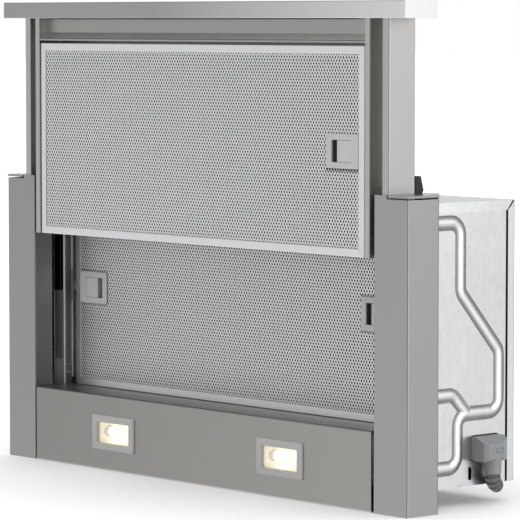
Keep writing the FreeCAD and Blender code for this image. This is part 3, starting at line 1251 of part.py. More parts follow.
# ---------------------------------------------------------------- outlet
def outlet_collar():
    """Moulded collar for the duct, flanged against the rear cover, with bearings for the flap pins."""
    start = V(OUTLET_X, BOX_REAR, OUTLET_Z)
    inside = OUTLET_R - OUTLET_WALL
    shape = ring(OUTLET_R, inside, start, REARWARD, OUTLET_LENGTH)
    flange = ring(OUTLET_R + OUTLET_FLANGE, inside, start, REARWARD, OUTLET_WALL)
    half = OUTLET_R - OUTLET_WALL / 2.0
    bar = box((OUTLET_X - STOP_BAR_HALF, OUTLET_X + STOP_BAR_HALF),
              (FLAP_Y - STOP_BAR[0], FLAP_Y - STOP_BAR[1]), (OUTLET_Z - half, OUTLET_Z + half))
    shape = shape.fuse(flange).fuse(bar)
    for s in (-1, 1):
        shape = shape.cut(flap_pin(s, FIT))
    return shape.removeSplitter()


def flap_pin(side, grow):
    """Hinge pin of a flap, along Z through the collar's wall."""
    x = OUTLET_X + side * FLAP_OFFSET
    half = math.sqrt(OUTLET_R ** 2 - FLAP_OFFSET ** 2) - OUTLET_WALL / 2.0 + grow
    return cylinder(FLAP_PIN_R + grow, V(x, FLAP_Y, OUTLET_Z - half), V(0, 0, 1), 2 * half)


def flap(side):
    """Half-round backdraft flap with its hinge barrel and pins."""
    radius = OUTLET_R - OUTLET_WALL - FLAP_CLEAR
    disc = cylinder(radius, V(OUTLET_X, FLAP_Y - FLAP_THICK / 2.0, OUTLET_Z), REARWARD, FLAP_THICK)
    x = OUTLET_X + side * FLAP_OFFSET
    reach = (x, OUTLET_X + side * OUTLET_R)
    half = disc.common(box((min(reach), max(reach)), (FLAP_Y - FLAP_THICK, FLAP_Y + FLAP_THICK),
                           (OUTLET_Z - OUTLET_R, OUTLET_Z + OUTLET_R)))
    barrel_half = math.sqrt(radius ** 2 - FLAP_OFFSET ** 2) - FLAP_BARREL_SHORT
    barrel = cylinder(FLAP_PIN_R + FLAP_BARREL, V(x, FLAP_Y, OUTLET_Z - barrel_half), V(0, 0, 1),
                      2 * barrel_half)
    return fused([half, barrel, flap_pin(side, 0.0)])


# ---------------------------------------------------------------- electrics
def terminal_box():
    """Moulded terminal box with a lid seam and a cable grommet hole."""
    x, y, z = TERMINAL_X, TERMINAL_Y, TERMINAL_Z

    def block(inset, low, high, turn):
        return slab((y[0] + inset, y[1] - inset), (z[0] + inset, z[1] - inset), "X", low, high, turn)
    w = TERMINAL_WALL
    outer = block(0.0, x[0], x[1], TERMINAL_TURN)
    inner = block(w, x[0] + w, x[1] - w, TERMINAL_TURN / 2.0)
    low, high = x[0] + LID_SEAM[0], x[0] + LID_SEAM[1]
    seam = block(-w, low, high, TERMINAL_TURN).cut(block(w / 3.0, low - w, high + w, TERMINAL_TURN - SEAT))
    start = V(x[0] + GROMMET_PLACE[0], y[0] + GROMMET_PLACE[1], z[1] - 2 * w)
    hole = cylinder(GROMMET_R, start, V(0, 0, 1), 4 * w)
    return outer.cut(inner).cut(seam).cut(hole)


def mains_inlet():
    """Black appliance inlet: cup behind the side panel's opening, with three contact pins."""
    face = BOX_HALF - SHEET
    floor = face - INLET_DEPTH
    cup = inlet_cut(INLET_WALL, floor, face).cut(inlet_cut(0.0, floor + INLET_FLOOR, face + SHEET))
    y, z = sum(INLET_Y) / 2.0, sum(INLET_Z) / 2.0
    thick, high = CONTACT_SIZE[0] / 2.0, CONTACT_SIZE[1] / 2.0
    for offset in (-CONTACT_PITCH, 0.0, CONTACT_PITCH):
        pin = slab((y + offset - thick, y + offset + thick), (z - high, z + high), "X", floor + SHEET,
                   floor + SHEET + CONTACT_LENGTH)
        cup = cup.fuse(pin)
    inset = TAIL_INSET
    tail = slab((INLET_Y[0] + inset, INLET_Y[1] - inset), (INLET_Z[0] + inset, INLET_Z[1] - inset), "X",
                TERMINAL_X[1], floor + SHEET, TAIL_INSET / 2.0)
    return fused([cup, tail])


def connector():
    """Right-angled connector in the inlet: plug body, sloping shoulder and round neck."""
    face, tip = BOX_HALF, BOX_HALF + PLUG_OUT
    y = (INLET_Y[0] + PLUG_GAP, INLET_Y[1] - PLUG_GAP)
    z = (INLET_Z[0] + PLUG_GAP, INLET_Z[1] - PLUG_GAP)
    start = face - SHEET - INLET_DEPTH + PLUG_ROOT
    root = slab(y, z, "X", start, face + PLUG_BASE, INLET_TURN - PLUG_GAP)
    seat = inlet_cut(-SEAT, start, start + PLUG_FIT)
    base = face + PLUG_BASE - SHEET
    profile = [(base, z[0]), (base, z[1]), (face + PLUG_SHOULDER, z[1]), (tip, z[1] - PLUG_SHOULDER),
               (tip, z[0] + PLUG_SHOULDER / 3.0), (tip - PLUG_BASE, z[0])]
    side = run_along(rounded_wire(profile, [0, 0, 2.0, 3.0, 3.0, 1.0], "Y", y[0]), "Y", y[1] - y[0])
    front_cut, rear_cut, rear_reach = PLUG_CORNER
    plan = [(face, y[0]), (tip - front_cut, y[0]), (tip, y[0] + PLUG_BASE), (tip, y[1] - rear_cut),
            (tip - rear_reach, y[1]), (face, y[1])]
    body = side.common(plate(plan, "Z", z[0] - SHEET, z[1] + SHEET, 1.5))
    top = INLET_Z[0] + NECK_ROOT
    neck = Part.makeCone(NECK_R, NECK_R - NECK_TAPER, top - NECK_FOOT, V(NECK_X, NECK_Y, top), V(0, 0, -1))
    contacts = inlet_cut(-PLUG_CONTACT_INSET, face - INLET_DEPTH - SHEET, face - 5 * SHEET)
    mark = plug_mark(tip, y[0], (INLET_Z[0] + INLET_Z[1]) / 2.0)
    return fused([root, seat, body, neck]).cut(contacts).cut(mark)


def plug_mark(tip, front, middle):
    """Groove round the small moulded mark in the connector's outer face."""
    y, z = front + PLUG_MARK_PLACE[0], middle + PLUG_MARK_PLACE[1]
    half_y, half_z = PLUG_MARK[0] / 2.0, PLUG_MARK[1] / 2.0
    edge = PLUG_MARK_EDGE
    span = (tip - PLUG_MARK_DEPTH, tip + SHEET)
    groove = box(span, (y - half_y, y + half_y), (z - half_z, z + half_z))
    island = box(span, (y - half_y + edge, y + half_y - edge), (z - half_z + edge, z + half_z - edge))
    return groove.cut(island)


def boot():
    """Ribbed strain relief that bends from the neck towards the rear and under the box."""
    inward = V(BOOT_HEADING[0], BOOT_HEADING[1], 0).normalize()
    centre = V(NECK_X, NECK_Y, NECK_FOOT) + inward * BOOT_BEND_R

    def place(share):
        angle = share * math.radians(BOOT_BEND)
        point = centre - inward * (BOOT_BEND_R * math.cos(angle)) - V(0, 0, BOOT_BEND_R * math.sin(angle))
        return point, V(0, 0, -1) * math.cos(angle) + inward * math.sin(angle)

    def radius(share):
        return BOOT_R[0] + (BOOT_R[1] - BOOT_R[0]) * share
    circles = []
    for i in range(6):
        point, heading = place(i / 5.0)
        circles.append(Part.Wire(Part.Circle(point, heading, radius(i / 5.0) - BOOT_GROOVE).toShape()))
    shapes = [Part.makeLoft(circles, True, True)]
    for i in range(BOOT_RINGS):
        point, heading = place(i * BOOT_PITCH / BOOT_LENGTH)
        disc = Part.makeCylinder(radius(i / BOOT_RINGS), BOOT_RING_WIDTH, point, heading)
        shapes.append(disc.makeChamfer(BOOT_RING_TURN, [e for e in disc.Edges if len(e.Vertexes) == 1]))
    point, heading = place(1.0)
    start = point - heading * BOOT_BORE_DEPTH
    bore = Part.makeCylinder(BOOT_BORE, BOOT_BORE_DEPTH + BOOT_R[0], start, heading)
    return fused(shapes).cut(bore)


def capacitor():
    """Motor capacitor in its clip on the box bottom."""
    start = V(CAPACITOR_X, COLLAR_REAR + CAPACITOR_START, CAPACITOR_Z)
    can = cylinder(CAPACITOR_R, start, REARWARD, CAPACITOR_LENGTH)
    can = can.makeFillet(CAPACITOR_TURN, [e for e in can.Edges if e.Length > CAPACITOR_LENGTH + SHEET])
    clip = box((CAPACITOR_X - CLIP_HALF, CAPACITOR_X + CLIP_HALF),
               (start.y + CLIP_SPAN[0], start.y + CLIP_SPAN[1]),
               (BOX_BOTTOM + SHEET, CAPACITOR_Z - CAPACITOR_R + CLIP_LAP))
    return fused([can, clip])


# ---------------------------------------------------------------- build
def build_housing():
    """Write the fixed pieces outside the blower."""
    save_pair("post", post())
    save("collar_plate", collar_plate())
    save("slide_stops", Part.makeCompound([slide_stop(), mirrored(slide_stop())]))
    save("lamp_panel", lamp_panel())
    for name, x in (("right", LAMP_X), ("left", -LAMP_X)):
        save(f"lamp_trim_{name}", lamp_trim(x))
        save(f"lamp_lens_{name}", lamp_lens(x))
        save(f"lamp_reflector_{name}", lamp_reflector(x))
        save(f"lamp_bulb_{name}", lamp_bulb(x))
    save("lamp_sockets", Part.makeCompound([lamp_socket(x) for x in (-LAMP_X, LAMP_X)]))
    panel = side_openings(side_panel())
    save("side_panel_right", panel.cut(inlet_cut(0.0, *panel_span())))
    save("side_panel_left", mirrored(panel))
    save("box_top", box_top())
    save("box_bottom", box_bottom())
    save("rear_cover", rear_cover())
    save("cover_screws", cover_screws())
    save("intake_frame", intake_frame())
    save_pair("outer_rail", outer_rail())


def build_filters():
    """Write both grease filters and their latches."""
    z = UPPER_BOTTOM + UPPER_LATCH_Z
    save("upper_filter_rim", filter_rim(UPPER_FRONT, UPPER_BOTTOM, z, (1,)))
    save("upper_filter_mesh", mesh_pack(UPPER_FRONT, UPPER_BOTTOM, z, (1,)))
    save("upper_latch_plate", latch_plate(UPPER_FRONT, z))
    save("upper_latch_tab", latch_tab(UPPER_FRONT, z))
    z = LOWER_BOTTOM + LOWER_LATCH_Z
    save("lower_filter_rim", filter_rim(LOWER_FRONT, LOWER_BOTTOM, z, (-1, 1)))
    save("lower_filter_mesh", mesh_pack(LOWER_FRONT, LOWER_BOTTOM, z, (-1, 1)))
    save_pair("lower_latch_plate", latch_plate(LOWER_FRONT, z))
    save_pair("lower_latch_tab", latch_tab(LOWER_FRONT, z))


def build_slide():
    """Write the moving slide."""
    save_pair("side_channel", side_channel())
    save("handle_bar", handle_bar())
    save("cross_member", cross_member())
    save("slide_back", slide_back())
    save_pair("inner_rail", inner_rail())
    save_pair("ball_cage", ball_cage())


def build_blower():
    """Write the blower, its motor and the outlet."""
    save("blower_scroll", blower_scroll())
    save("scroll_cover", scroll_cover())
    save("impeller", impeller())
    save("motor_rotor", motor_rotor())
    save("motor_shield_front", motor_shield(False))
    save("motor_shield_rear", motor_shield(True))
    save("motor_core", motor_core())
    save("shaft_bearings", shaft_bearings())
    save("motor_mounts", motor_mounts())
    save("outlet_collar", outlet_collar())
    save("flap_right", flap(1))
    save("flap_left", flap(-1))


def build_electrics():
    """Write the mains inlet, the connector in it and the parts it feeds."""
    save("terminal_box", terminal_box())
    save("mains_inlet", mains_inlet())
    save("connector", connector())
    save("connector_boot", boot())
    save("motor_capacitor", capacitor())


build_housing()
build_filters()
build_slide()
build_blower()
build_electrics()
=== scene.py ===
"""Dressed model of a built-in slide-out cooker extractor, standing upright with its slide out."""

import json
import logging
import math
from dataclasses import dataclass, field, replace
from enum import Enum
from typing import Any, Sequence, Union

import bmesh
import bpy
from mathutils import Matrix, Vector

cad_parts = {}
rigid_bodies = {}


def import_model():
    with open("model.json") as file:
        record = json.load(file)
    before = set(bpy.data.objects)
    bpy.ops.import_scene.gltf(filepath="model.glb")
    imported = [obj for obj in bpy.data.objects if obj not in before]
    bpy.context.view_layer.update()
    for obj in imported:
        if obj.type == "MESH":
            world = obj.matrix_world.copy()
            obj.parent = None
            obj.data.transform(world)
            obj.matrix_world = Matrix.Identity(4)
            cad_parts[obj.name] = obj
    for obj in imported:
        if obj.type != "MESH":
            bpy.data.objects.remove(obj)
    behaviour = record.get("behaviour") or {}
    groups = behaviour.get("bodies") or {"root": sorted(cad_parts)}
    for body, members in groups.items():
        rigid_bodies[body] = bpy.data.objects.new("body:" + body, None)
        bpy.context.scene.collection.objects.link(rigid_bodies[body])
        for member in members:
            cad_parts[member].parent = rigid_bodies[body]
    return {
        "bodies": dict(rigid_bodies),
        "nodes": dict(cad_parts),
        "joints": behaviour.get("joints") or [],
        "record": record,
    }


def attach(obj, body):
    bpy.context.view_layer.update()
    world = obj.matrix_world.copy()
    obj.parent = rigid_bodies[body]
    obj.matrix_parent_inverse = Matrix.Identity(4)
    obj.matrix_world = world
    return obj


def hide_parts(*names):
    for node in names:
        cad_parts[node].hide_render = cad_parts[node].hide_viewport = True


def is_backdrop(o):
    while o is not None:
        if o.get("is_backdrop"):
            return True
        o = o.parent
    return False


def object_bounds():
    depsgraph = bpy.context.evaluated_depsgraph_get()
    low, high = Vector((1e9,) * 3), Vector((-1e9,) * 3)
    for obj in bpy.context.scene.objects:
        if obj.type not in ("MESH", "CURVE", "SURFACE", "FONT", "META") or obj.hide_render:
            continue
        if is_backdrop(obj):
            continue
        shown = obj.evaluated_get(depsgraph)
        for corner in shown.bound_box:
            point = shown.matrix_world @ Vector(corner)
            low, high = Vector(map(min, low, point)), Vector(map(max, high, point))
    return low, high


LOG = logging.getLogger("cooker_extractor")
MM = 0.001
NOISE_ROUGHNESS = 0.55
SIDES = ("left", "right")
MERGE_WITHIN = 1e-7
WHITE = (1.0, 1.0, 1.0, 1.0)
Number = Union[int, float]
Colour = tuple[float, float, float]
Point = tuple[float, float, float]


class Body(str, Enum):
    """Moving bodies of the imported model."""

    HOUSING = "housing"
    SLIDE = "slide"
    FAN = "fan"
    UPPER_TAB = "upper_tab"
    LOWER_TAB_LEFT = "lower_tab_left"
    LOWER_TAB_RIGHT = "lower_tab_right"
    FLAP_LEFT = "flap_left"
    FLAP_RIGHT = "flap_right"
    CAGE_LEFT = "cage_left"
    CAGE_RIGHT = "cage_right"


class Grain(Enum):
    """Direction in which a sheet was brushed or rolled, as texture scales per metre."""

    ACROSS = (14.0, 2600.0, 2600.0)
    UPRIGHT = (2600.0, 2600.0, 14.0)

    def scaled(self, factor: float) -> Point:
        """Its texture scales made coarser or finer."""
        return tuple(scale * factor for scale in self.value)


# ---------------------------------------------------------------- node building
class Level:
    """A number socket whose operators add Math nodes."""

    def __init__(self, kit: "NodeKit", socket: bpy.types.NodeSocket) -> None:
        self.kit = kit
        self.socket = socket

    def join(self, operation: str, *others: "Level | Number") -> "Level":
        """Add one Math node.

        Args:
            operation: The node's operation.
            others: Its further operands.

        Returns:
            The node's result.
        """
        inputs = {i: value for i, value in enumerate((self, *others))}
        return Level(self.kit, self.kit.node("ShaderNodeMath", {"operation": operation}, inputs))

    def swapped(self, operation: str, other: Number) -> "Level":
        """Add one Math node whose first operand is a plain number."""
        inputs = {0: other, 1: self}
        return Level(self.kit, self.kit.node("ShaderNodeMath", {"operation": operation}, inputs))

    def __add__(self, other: "Level | Number") -> "Level":
        """Sum."""
        return self.join("ADD", other)

    __radd__ = __add__

    def __sub__(self, other: "Level | Number") -> "Level":
        """Difference."""
        return self.join("SUBTRACT", other)

    def __rsub__(self, other: Number) -> "Level":
        """Difference from a plain number."""
        return self.swapped("SUBTRACT", other)

    def __mul__(self, other: "Level | Number") -> "Level":
        """Product."""
        return self.join("MULTIPLY", other)

    __rmul__ = __mul__

    def __truediv__(self, other: "Level | Number") -> "Level":
        """Quotient."""
        return self.join("DIVIDE", other)

    def __pow__(self, other: "Level | Number") -> "Level":
        """Power."""
        return self.join("POWER", other)

    def __abs__(self) -> "Level":
        """Distance from zero."""
        return self.join("ABSOLUTE")

    def __lt__(self, other: "Level | Number") -> "Level":
        """One where this is below the other, else zero."""
        return self.join("LESS_THAN", other)

    def __gt__(self, other: "Level | Number") -> "Level":
        """One where this is above the other, else zero."""
        return self.join("GREATER_THAN", other)

    def __mod__(self, other: "Level | Number") -> "Level":
        """Remainder."""
        return self.join("FLOORED_MODULO", other)


class NodeKit:
    """Adds nodes to one tree."""

    def __init__(self, tree: bpy.types.NodeTree) -> None:
        """Wrap an empty tree."""
        self.tree = tree

    def node(self, kind: str, settings: dict[str, Any] | None = None,
             inputs: dict[int | str, Any] | None = None, output: int | str = 0) -> bpy.types.NodeSocket:
        """Add one node.

        Args:
            kind: The node's type.
            settings: Its properties, set first.
            inputs: Values or links of its sockets, by name or number.
            output: The output that is wanted.

        Returns:
            The output socket.
        """
        node = self.tree.nodes.new(kind)
        for name, value in (settings or {}).items():
            setattr(node, name, value)
        for key, value in (inputs or {}).items():
            self.feed(node.inputs[key], value)
        return node.outputs[output]

    def feed(self, socket: bpy.types.NodeSocket, value: Any) -> None:
        """Link a socket to a value's source, or set it.

        Args:
            socket: The input.
            value: A Level, a socket or a plain value.
        """
        if isinstance(value, Level):
            value = value.socket
        if isinstance(value, bpy.types.NodeSocket):
            self.tree.links.new(value, socket)
        else:
            socket.default_value = value

    def level(self, kind: str, settings: dict[str, Any] | None = None,
              inputs: dict[int | str, Any] | None = None, output: int | str = 0) -> Level:
        """Add one node and wrap its number output."""
        return Level(self, self.node(kind, settings, inputs, output))


class ShaderKit(NodeKit):
    """Nodes of one material, around a Principled shader."""

    def __init__(self, name: str) -> None:
        """Make the material with its shader and output.

        Args:
            name: The material's name.
        """
        self.material = bpy.data.materials.new(name)
        self.material.use_nodes = True
        super().__init__(self.material.node_tree)
        self.tree.nodes.clear()
        self.shader = self.tree.nodes.new("ShaderNodeBsdfPrincipled")
        self.out = self.tree.nodes.new("ShaderNodeOutputMaterial")
        self.tree.links.new(self.shader.outputs[0], self.out.inputs[0])

    def coords(self) -> bpy.types.NodeSocket:
        """Object coordinates, in metres."""
        return self.node("ShaderNodeTexCoord", output="Object")

    def place(self, scale: Point) -> bpy.types.NodeSocket:
        """Object coordinates scaled for a pattern."""
        return self.node("ShaderNodeMapping", {}, {"Vector": self.coords(), "Scale": scale})

    def noise(self, scale: Point, detail: float) -> Level:
        """Noise between 0 and 1 over the object's own coordinates."""
        inputs = {"Vector": self.place(scale), "Scale": 1.0, "Detail": detail, "Roughness": NOISE_ROUGHNESS}
        return self.level("ShaderNodeTexNoise", {}, inputs)

    def even_noise(self, scale: float, detail: float) -> Level:
        """Noise of one scale in every direction."""
        return self.noise((scale, scale, scale), detail)

    def cells(self, scale: Point, scatter: float) -> Level:
        """Distance from the middles of scattered cells."""
        return self.level("ShaderNodeTexVoronoi", {"feature": "F1"},
                          {"Vector": self.place(scale), "Scale": 1.0, "Randomness": scatter}, "Distance")

    def axis(self, name: str) -> Level:
        """One object coordinate, in metres."""
        return self.level("ShaderNodeSeparateXYZ", {}, {0: self.coords()}, name)

    def nearness(self, centre: Point, reach: float) -> Level:
        """Falls from one at a centre to zero at a reach, both in millimetres.

        Args:
            centre: Where it is one.
            reach: How far it reaches.

        Returns:
            The share, from zero to one.
        """
        away = self.level("ShaderNodeVectorMath", {"operation": "DISTANCE"},
                          {0: self.coords(), 1: tuple(c * MM for c in centre)}, "Value")
        return (1.0 - away / (reach * MM)).join("MAXIMUM", 0.0)

    def tint(self, share: Level, first: Colour | bpy.types.NodeSocket,
             second: Colour) -> bpy.types.NodeSocket:
        """Colour between two, by a share."""
        start = first if isinstance(first, bpy.types.NodeSocket) else (*first, 1.0)
        return self.node("ShaderNodeMix", {"data_type": "RGBA"}, {0: share, 6: start, 7: (*second, 1.0)}, 2)

    def shape(self, **inputs: Any) -> None:
        """Feed or set sockets of the shader; an underscore stands for a space."""
        for name, value in inputs.items():
            self.feed(self.shader.inputs[name.replace("_", " ")], value)

    def hide_from_mirrors(self) -> None:
        """Let glossy rays pass through the surface."""
        mirrored = self.node("ShaderNodeLightPath", output="Is Glossy Ray")
        clear = self.node("ShaderNodeBsdfTransparent")
        mixed = self.node("ShaderNodeMixShader", {}, {0: mirrored, 1: self.shader.outputs[0], 2: clear})
        self.feed(self.out.inputs[0], mixed)

    def bump(self, height: Level, strength: float, distance: float) -> None:
        """Feed the shader's normal from a height."""
        inputs = {"Strength": strength, "Distance": distance, "Height": height}
        self.shape(Normal=self.node("ShaderNodeBump", {}, inputs))


def shade(colour: Colour, factor: float) -> Colour:
    """A colour made lighter or darker."""
    return tuple(min(1.0, c * factor) for c in colour)


# ---------------------------------------------------------------- finishes
@dataclass(frozen=True)
class PaintedShadingPatch:
    """Part of a piece between limits in millimetres, recoloured with painted shade or painted light that
    stands in for how light falls there.
    """

    colour: Colour
    beyond_x: float = 0.0
    within_x: float = 1000.0
    beyond_y: float = -1000.0
    below_z: float = 1000.0

    def over(self, kit: ShaderKit, colour: bpy.types.NodeSocket) -> bpy.types.NodeSocket:
        """Lay the painted shading over a colour.

        Args:
            kit: The material's nodes.
            colour: The colour underneath.

        Returns:
            The colour on top.
        """
        across = abs(kit.axis("X"))
        shading_mask = (across > self.beyond_x * MM) * (across < self.within_x * MM)
        shading_mask = shading_mask * (kit.axis("Y") > self.beyond_y * MM) * (kit.axis("Z") < self.below_z * MM)
        return kit.tint(shading_mask, colour, self.colour)


@dataclass(frozen=True)
class PaintedLightRamp:
    """Painted light: a slow change of tone towards the right end of a sheet, between two places in
    millimetres, standing in for light and reflection that grow towards the right.
    """

    colour: Colour
    start_x: float
    end_x: float

    def over(self, kit: ShaderKit, colour: bpy.types.NodeSocket) -> bpy.types.NodeSocket:
        """Lay the painted light ramp over a colour."""
        share = (kit.axis("X") - self.start_x * MM) / ((self.end_x - self.start_x) * MM)
        return kit.tint(share.join("MAXIMUM", 0.0).join("MINIMUM", 1.0), colour, self.colour)


@dataclass(frozen=True)
class Finish:
    """Look of one material."""

    name: str
    colour: Colour
    # The two optional layers below lay painted shading and painted light over the finish's colour.
    patch: PaintedShadingPatch | None = field(default=None, kw_only=True)
    painted_light_ramp: PaintedLightRamp | None = field(default=None, kw_only=True)

    def build(self) -> bpy.types.Material:
        """Make the material.

        Returns:
            The material.
        """
        kit = ShaderKit(self.name)
        self.paint(kit)
        return kit.material

    def paint(self, kit: ShaderKit) -> None:
        """Feed the shader's sockets."""
        raise NotImplementedError

    def toned(self, kit: ShaderKit, share: Level, dark: float, light: float) -> bpy.types.NodeSocket:
        """Its colour between two tones, with the painted light ramp and the painted shading patch that it may
        have.

        Args:
            kit: The material's nodes.
            share: Where it lies between the tones.
            dark: Factor of the darker tone.
            light: Factor of the lighter tone.

        Returns:
            The colour.
        """
        colour = kit.tint(share, shade(self.colour, dark), shade(self.colour, light))
        for layer in (self.painted_light_ramp, self.patch):
            if layer:
                colour = layer.over(kit, colour)
        return colour


@dataclass(frozen=True)
class BrushedSheet(Finish):
    """Satin stainless sheet with fine brushing lines."""

    grain: Grain = Grain.ACROSS
    roughness: float = 0.36
    streak: float = 0.06
    line_share: float = 0.7
    cloud_scale: float = 9.0
    relief: float = 0.04

    def paint(self, kit: ShaderKit) -> None:
        """Feed the shader's sockets.

        Args:
            kit: The material's nodes.
        """
        lines = kit.noise(self.grain.value, 4.0)
        clouds = kit.even_noise(self.cloud_scale, 2.0)
        share = lines * self.line_share + clouds * (1.0 - self.line_share)
        kit.shape(Base_Color=self.toned(kit, share, 1.0 - self.streak, 1.0 + self.streak),
                  Roughness=self.roughness - 0.05 + share * 0.1, Metallic=1.0)
        kit.bump(lines, 0.06, self.relief * MM)


@dataclass(frozen=True)
class GalvanisedSheet(Finish):
    """Bright zinc-coated sheet with a faint spangle and rolling lines."""

    roughness: float = 0.28
    grain: Grain = Grain.UPRIGHT
    spangle: Point = (150.0, 150.0, 110.0)
    clouds: Point = (16.0, 16.0, 10.0)
    coarseness: float = 0.6
    relief: float = 0.3

    def paint(self, kit: ShaderKit) -> None:
        """Feed the shader's sockets.

        Args:
            kit: The material's nodes.
        """
        spangle = kit.cells(self.spangle, 1.0)
        cloud = kit.noise(self.clouds, 4.0)
        lines = kit.noise(self.grain.scaled(self.coarseness), 3.0)
        share = spangle * 0.25 + cloud * 0.5 + lines * 0.25
        kit.shape(Base_Color=self.toned(kit, share, 0.8, 1.14),
                  Roughness=self.roughness - 0.06 + cloud * 0.12, Metallic=1.0)
        kit.bump(cloud + lines * 0.2, 0.06, self.relief * MM)


@dataclass(frozen=True)
class BareAluminium(Finish):
    """Mill-finish aluminium, clean or greyed with handling; the filter core's near-black copy is painted
    shade.
    """

    roughness: float = 0.38
    grain: Grain = Grain.ACROSS
    coarseness: float = 0.4
    haze_scale: float = 55.0
    relief: float = 0.2

    def paint(self, kit: ShaderKit) -> None:
        """Feed the shader's sockets.

        Args:
            kit: The material's nodes.
        """
        lines = kit.noise(self.grain.scaled(self.coarseness), 3.0)
        haze = kit.even_noise(self.haze_scale, 4.0)
        kit.shape(Base_Color=self.toned(kit, lines * 0.4 + haze * 0.6, 0.92, 1.06),
                  Roughness=self.roughness - 0.05 + haze * 0.12, Metallic=1.0)
        kit.bump(haze, 0.08, self.relief * MM)


@dataclass(frozen=True)
class MouldedPlastic(Finish):
    """Injection-moulded plastic with a fine spark-eroded texture."""

    roughness: float = 0.5
    texture: float = 900.0
    cloud_scale: float = 35.0
    relief: float = 0.08

    def paint(self, kit: ShaderKit) -> None:
        """Feed the shader's sockets.

        Args:
            kit: The material's nodes.
        """
        fine = kit.even_noise(self.texture, 3.0)
        cloud = kit.even_noise(self.cloud_scale, 2.0)
        kit.shape(Base_Color=self.toned(kit, cloud * 0.6 + fine * 0.4, 0.94, 1.05),
                  Roughness=self.roughness - 0.05 + fine * 0.1)
        kit.bump(fine, 0.25, self.relief * MM)


@dataclass(frozen=True)
class SoftRubber(Finish):
    """Matt rubber with a dusty bloom."""

    roughness: float = 0.72
    dust_scale: float = 260.0
    relief: float = 0.2

    def paint(self, kit: ShaderKit) -> None:
        """Feed the shader's sockets.

        Args:
            kit: The material's nodes.
        """
        dust = kit.even_noise(self.dust_scale, 5.0)
        kit.shape(Base_Color=self.toned(kit, dust, 0.75, 1.5), Roughness=self.roughness - 0.1 + dust * 0.15)
        kit.bump(dust, 0.3, self.relief * MM)


@dataclass(frozen=True)
class ClearGlass(Finish):
    """Thin clear cover glass."""

    cover: float = 0.16
    roughness: float = 0.06
    smear_scale: float = 120.0
    bending: float = 1.5

    def paint(self, kit: ShaderKit) -> None:
        """Feed the shader's sockets.

        Args:
            kit: The material's nodes.
        """
        smear = kit.even_noise(self.smear_scale, 3.0)
        kit.shape(Base_Color=self.toned(kit, smear, 0.96, 1.0), Roughness=self.roughness + smear * 0.05,
                  Alpha=self.cover + smear * 0.04, IOR=self.bending)


@dataclass(frozen=True)
class PressedDish(Finish):
    """Bright reflector hammered into small facets, with a painted glow in its emission that stands in for the
    bulb's light, strongest round the bulb and dimmer over the rest of the dish.
    """

    centre: Point
    painted_glow: Colour = (1.0, 0.95, 0.84)
    reach: float = 19.0
    facet: float = 260.0
    far_share: float = 0.34
    relief: float = 0.4

    def paint(self, kit: ShaderKit) -> None:
        """Feed the shader's sockets.

        Args:
            kit: The material's nodes.
        """
        facets = kit.cells((self.facet,) * 3, 0.35)
        near = kit.nearness(self.centre, self.reach)
        # Painted glow: the emission stands in for the bulb's light falling on the dish.
        kit.shape(Base_Color=self.toned(kit, facets, 1.0, 0.9),
                  Emission_Color=kit.tint(near, shade(self.colour, self.far_share), self.painted_glow),
                  Roughness=0.38 + facets * 0.1, Metallic=0.8, Emission_Strength=1.0)
        kit.bump(facets, 0.25, self.relief * MM)


@dataclass(frozen=True)
class LitGlass(Finish):
    """Glowing lamp glass, brightest along the filament."""

    centre: Point
    reach: float = 11.0
    strength: float = 2.0
    far_share: float = 0.45
    haze_scale: float = 400.0

    def paint(self, kit: ShaderKit) -> None:
        """Feed the shader's sockets.

        Args:
            kit: The material's nodes.
        """
        haze = kit.even_noise(self.haze_scale, 2.0)
        warm = self.toned(kit, kit.nearness(self.centre, self.reach), self.far_share, 1.0)
        kit.shape(Base_Color=warm, Emission_Color=warm, Roughness=0.2 + haze * 0.1,
                  Emission_Strength=self.strength)


@dataclass(frozen=True)
class Ceramic(Finish):
    """Unglazed steatite."""

    speck_scale: float = 700.0
    relief: float = 0.1

    def paint(self, kit: ShaderKit) -> None:
        """Feed the shader's sockets.

        Args:
            kit: The material's nodes.
        """
        speck = kit.even_noise(self.speck_scale, 4.0)
        kit.shape(Base_Color=self.toned(kit, speck, 0.9, 1.0), Roughness=0.6 + speck * 0.1)
        kit.bump(speck, 0.2, self.relief * MM)


# Painted light: the posts' colour grows lighter towards the right, standing in for how light falls across
# them.
POST_SHEET = BrushedSheet("post_sheet", (0.40, 0.398, 0.392), Grain.UPRIGHT,
                          painted_light_ramp=PaintedLightRamp((0.435, 0.435, 0.43), -200.0, 200.0))
# Painted light: the lamp panel grows lighter towards its right end, standing in for how light falls along it.
PANEL_SHEET = BrushedSheet("lamp_panel_sheet", (0.345, 0.341, 0.328), Grain.ACROSS,
                           painted_light_ramp=PaintedLightRamp((0.415, 0.41, 0.395), -220.0, 240.0))
# Painted shadow: the collar plate is near black below 145.3 mm, standing in for the shadow in the gap under
# it.
COLLAR_SHEET = BrushedSheet("collar_sheet", (0.42, 0.415, 0.40), Grain.ACROSS,
                            patch=PaintedShadingPatch((0.008, 0.008, 0.008), below_z=145.3))
# Painted highlight: the handle bar's ends beyond 298.7 mm are much lighter; painted reflection: the bar grows
# lighter towards its right end.
BAR_SHEET = BrushedSheet("bar_sheet", (0.44, 0.44, 0.437), Grain.ACROSS, 0.26,
                         patch=PaintedShadingPatch((0.86, 0.86, 0.87), beyond_x=298.7),
                         painted_light_ramp=PaintedLightRamp((0.84, 0.84, 0.835), -60.0, 299.0))
# Painted light: the side channels are much lighter inboard of 262.4 mm and behind -39.9 mm, inside their
# grooves, standing in for light reaching those shaded faces.
SLIDE_SHEET = BrushedSheet("slide_sheet", (0.55, 0.545, 0.535), Grain.UPRIGHT,
                           patch=PaintedShadingPatch((0.95, 0.945, 0.92), within_x=262.4, beyond_y=-39.9))
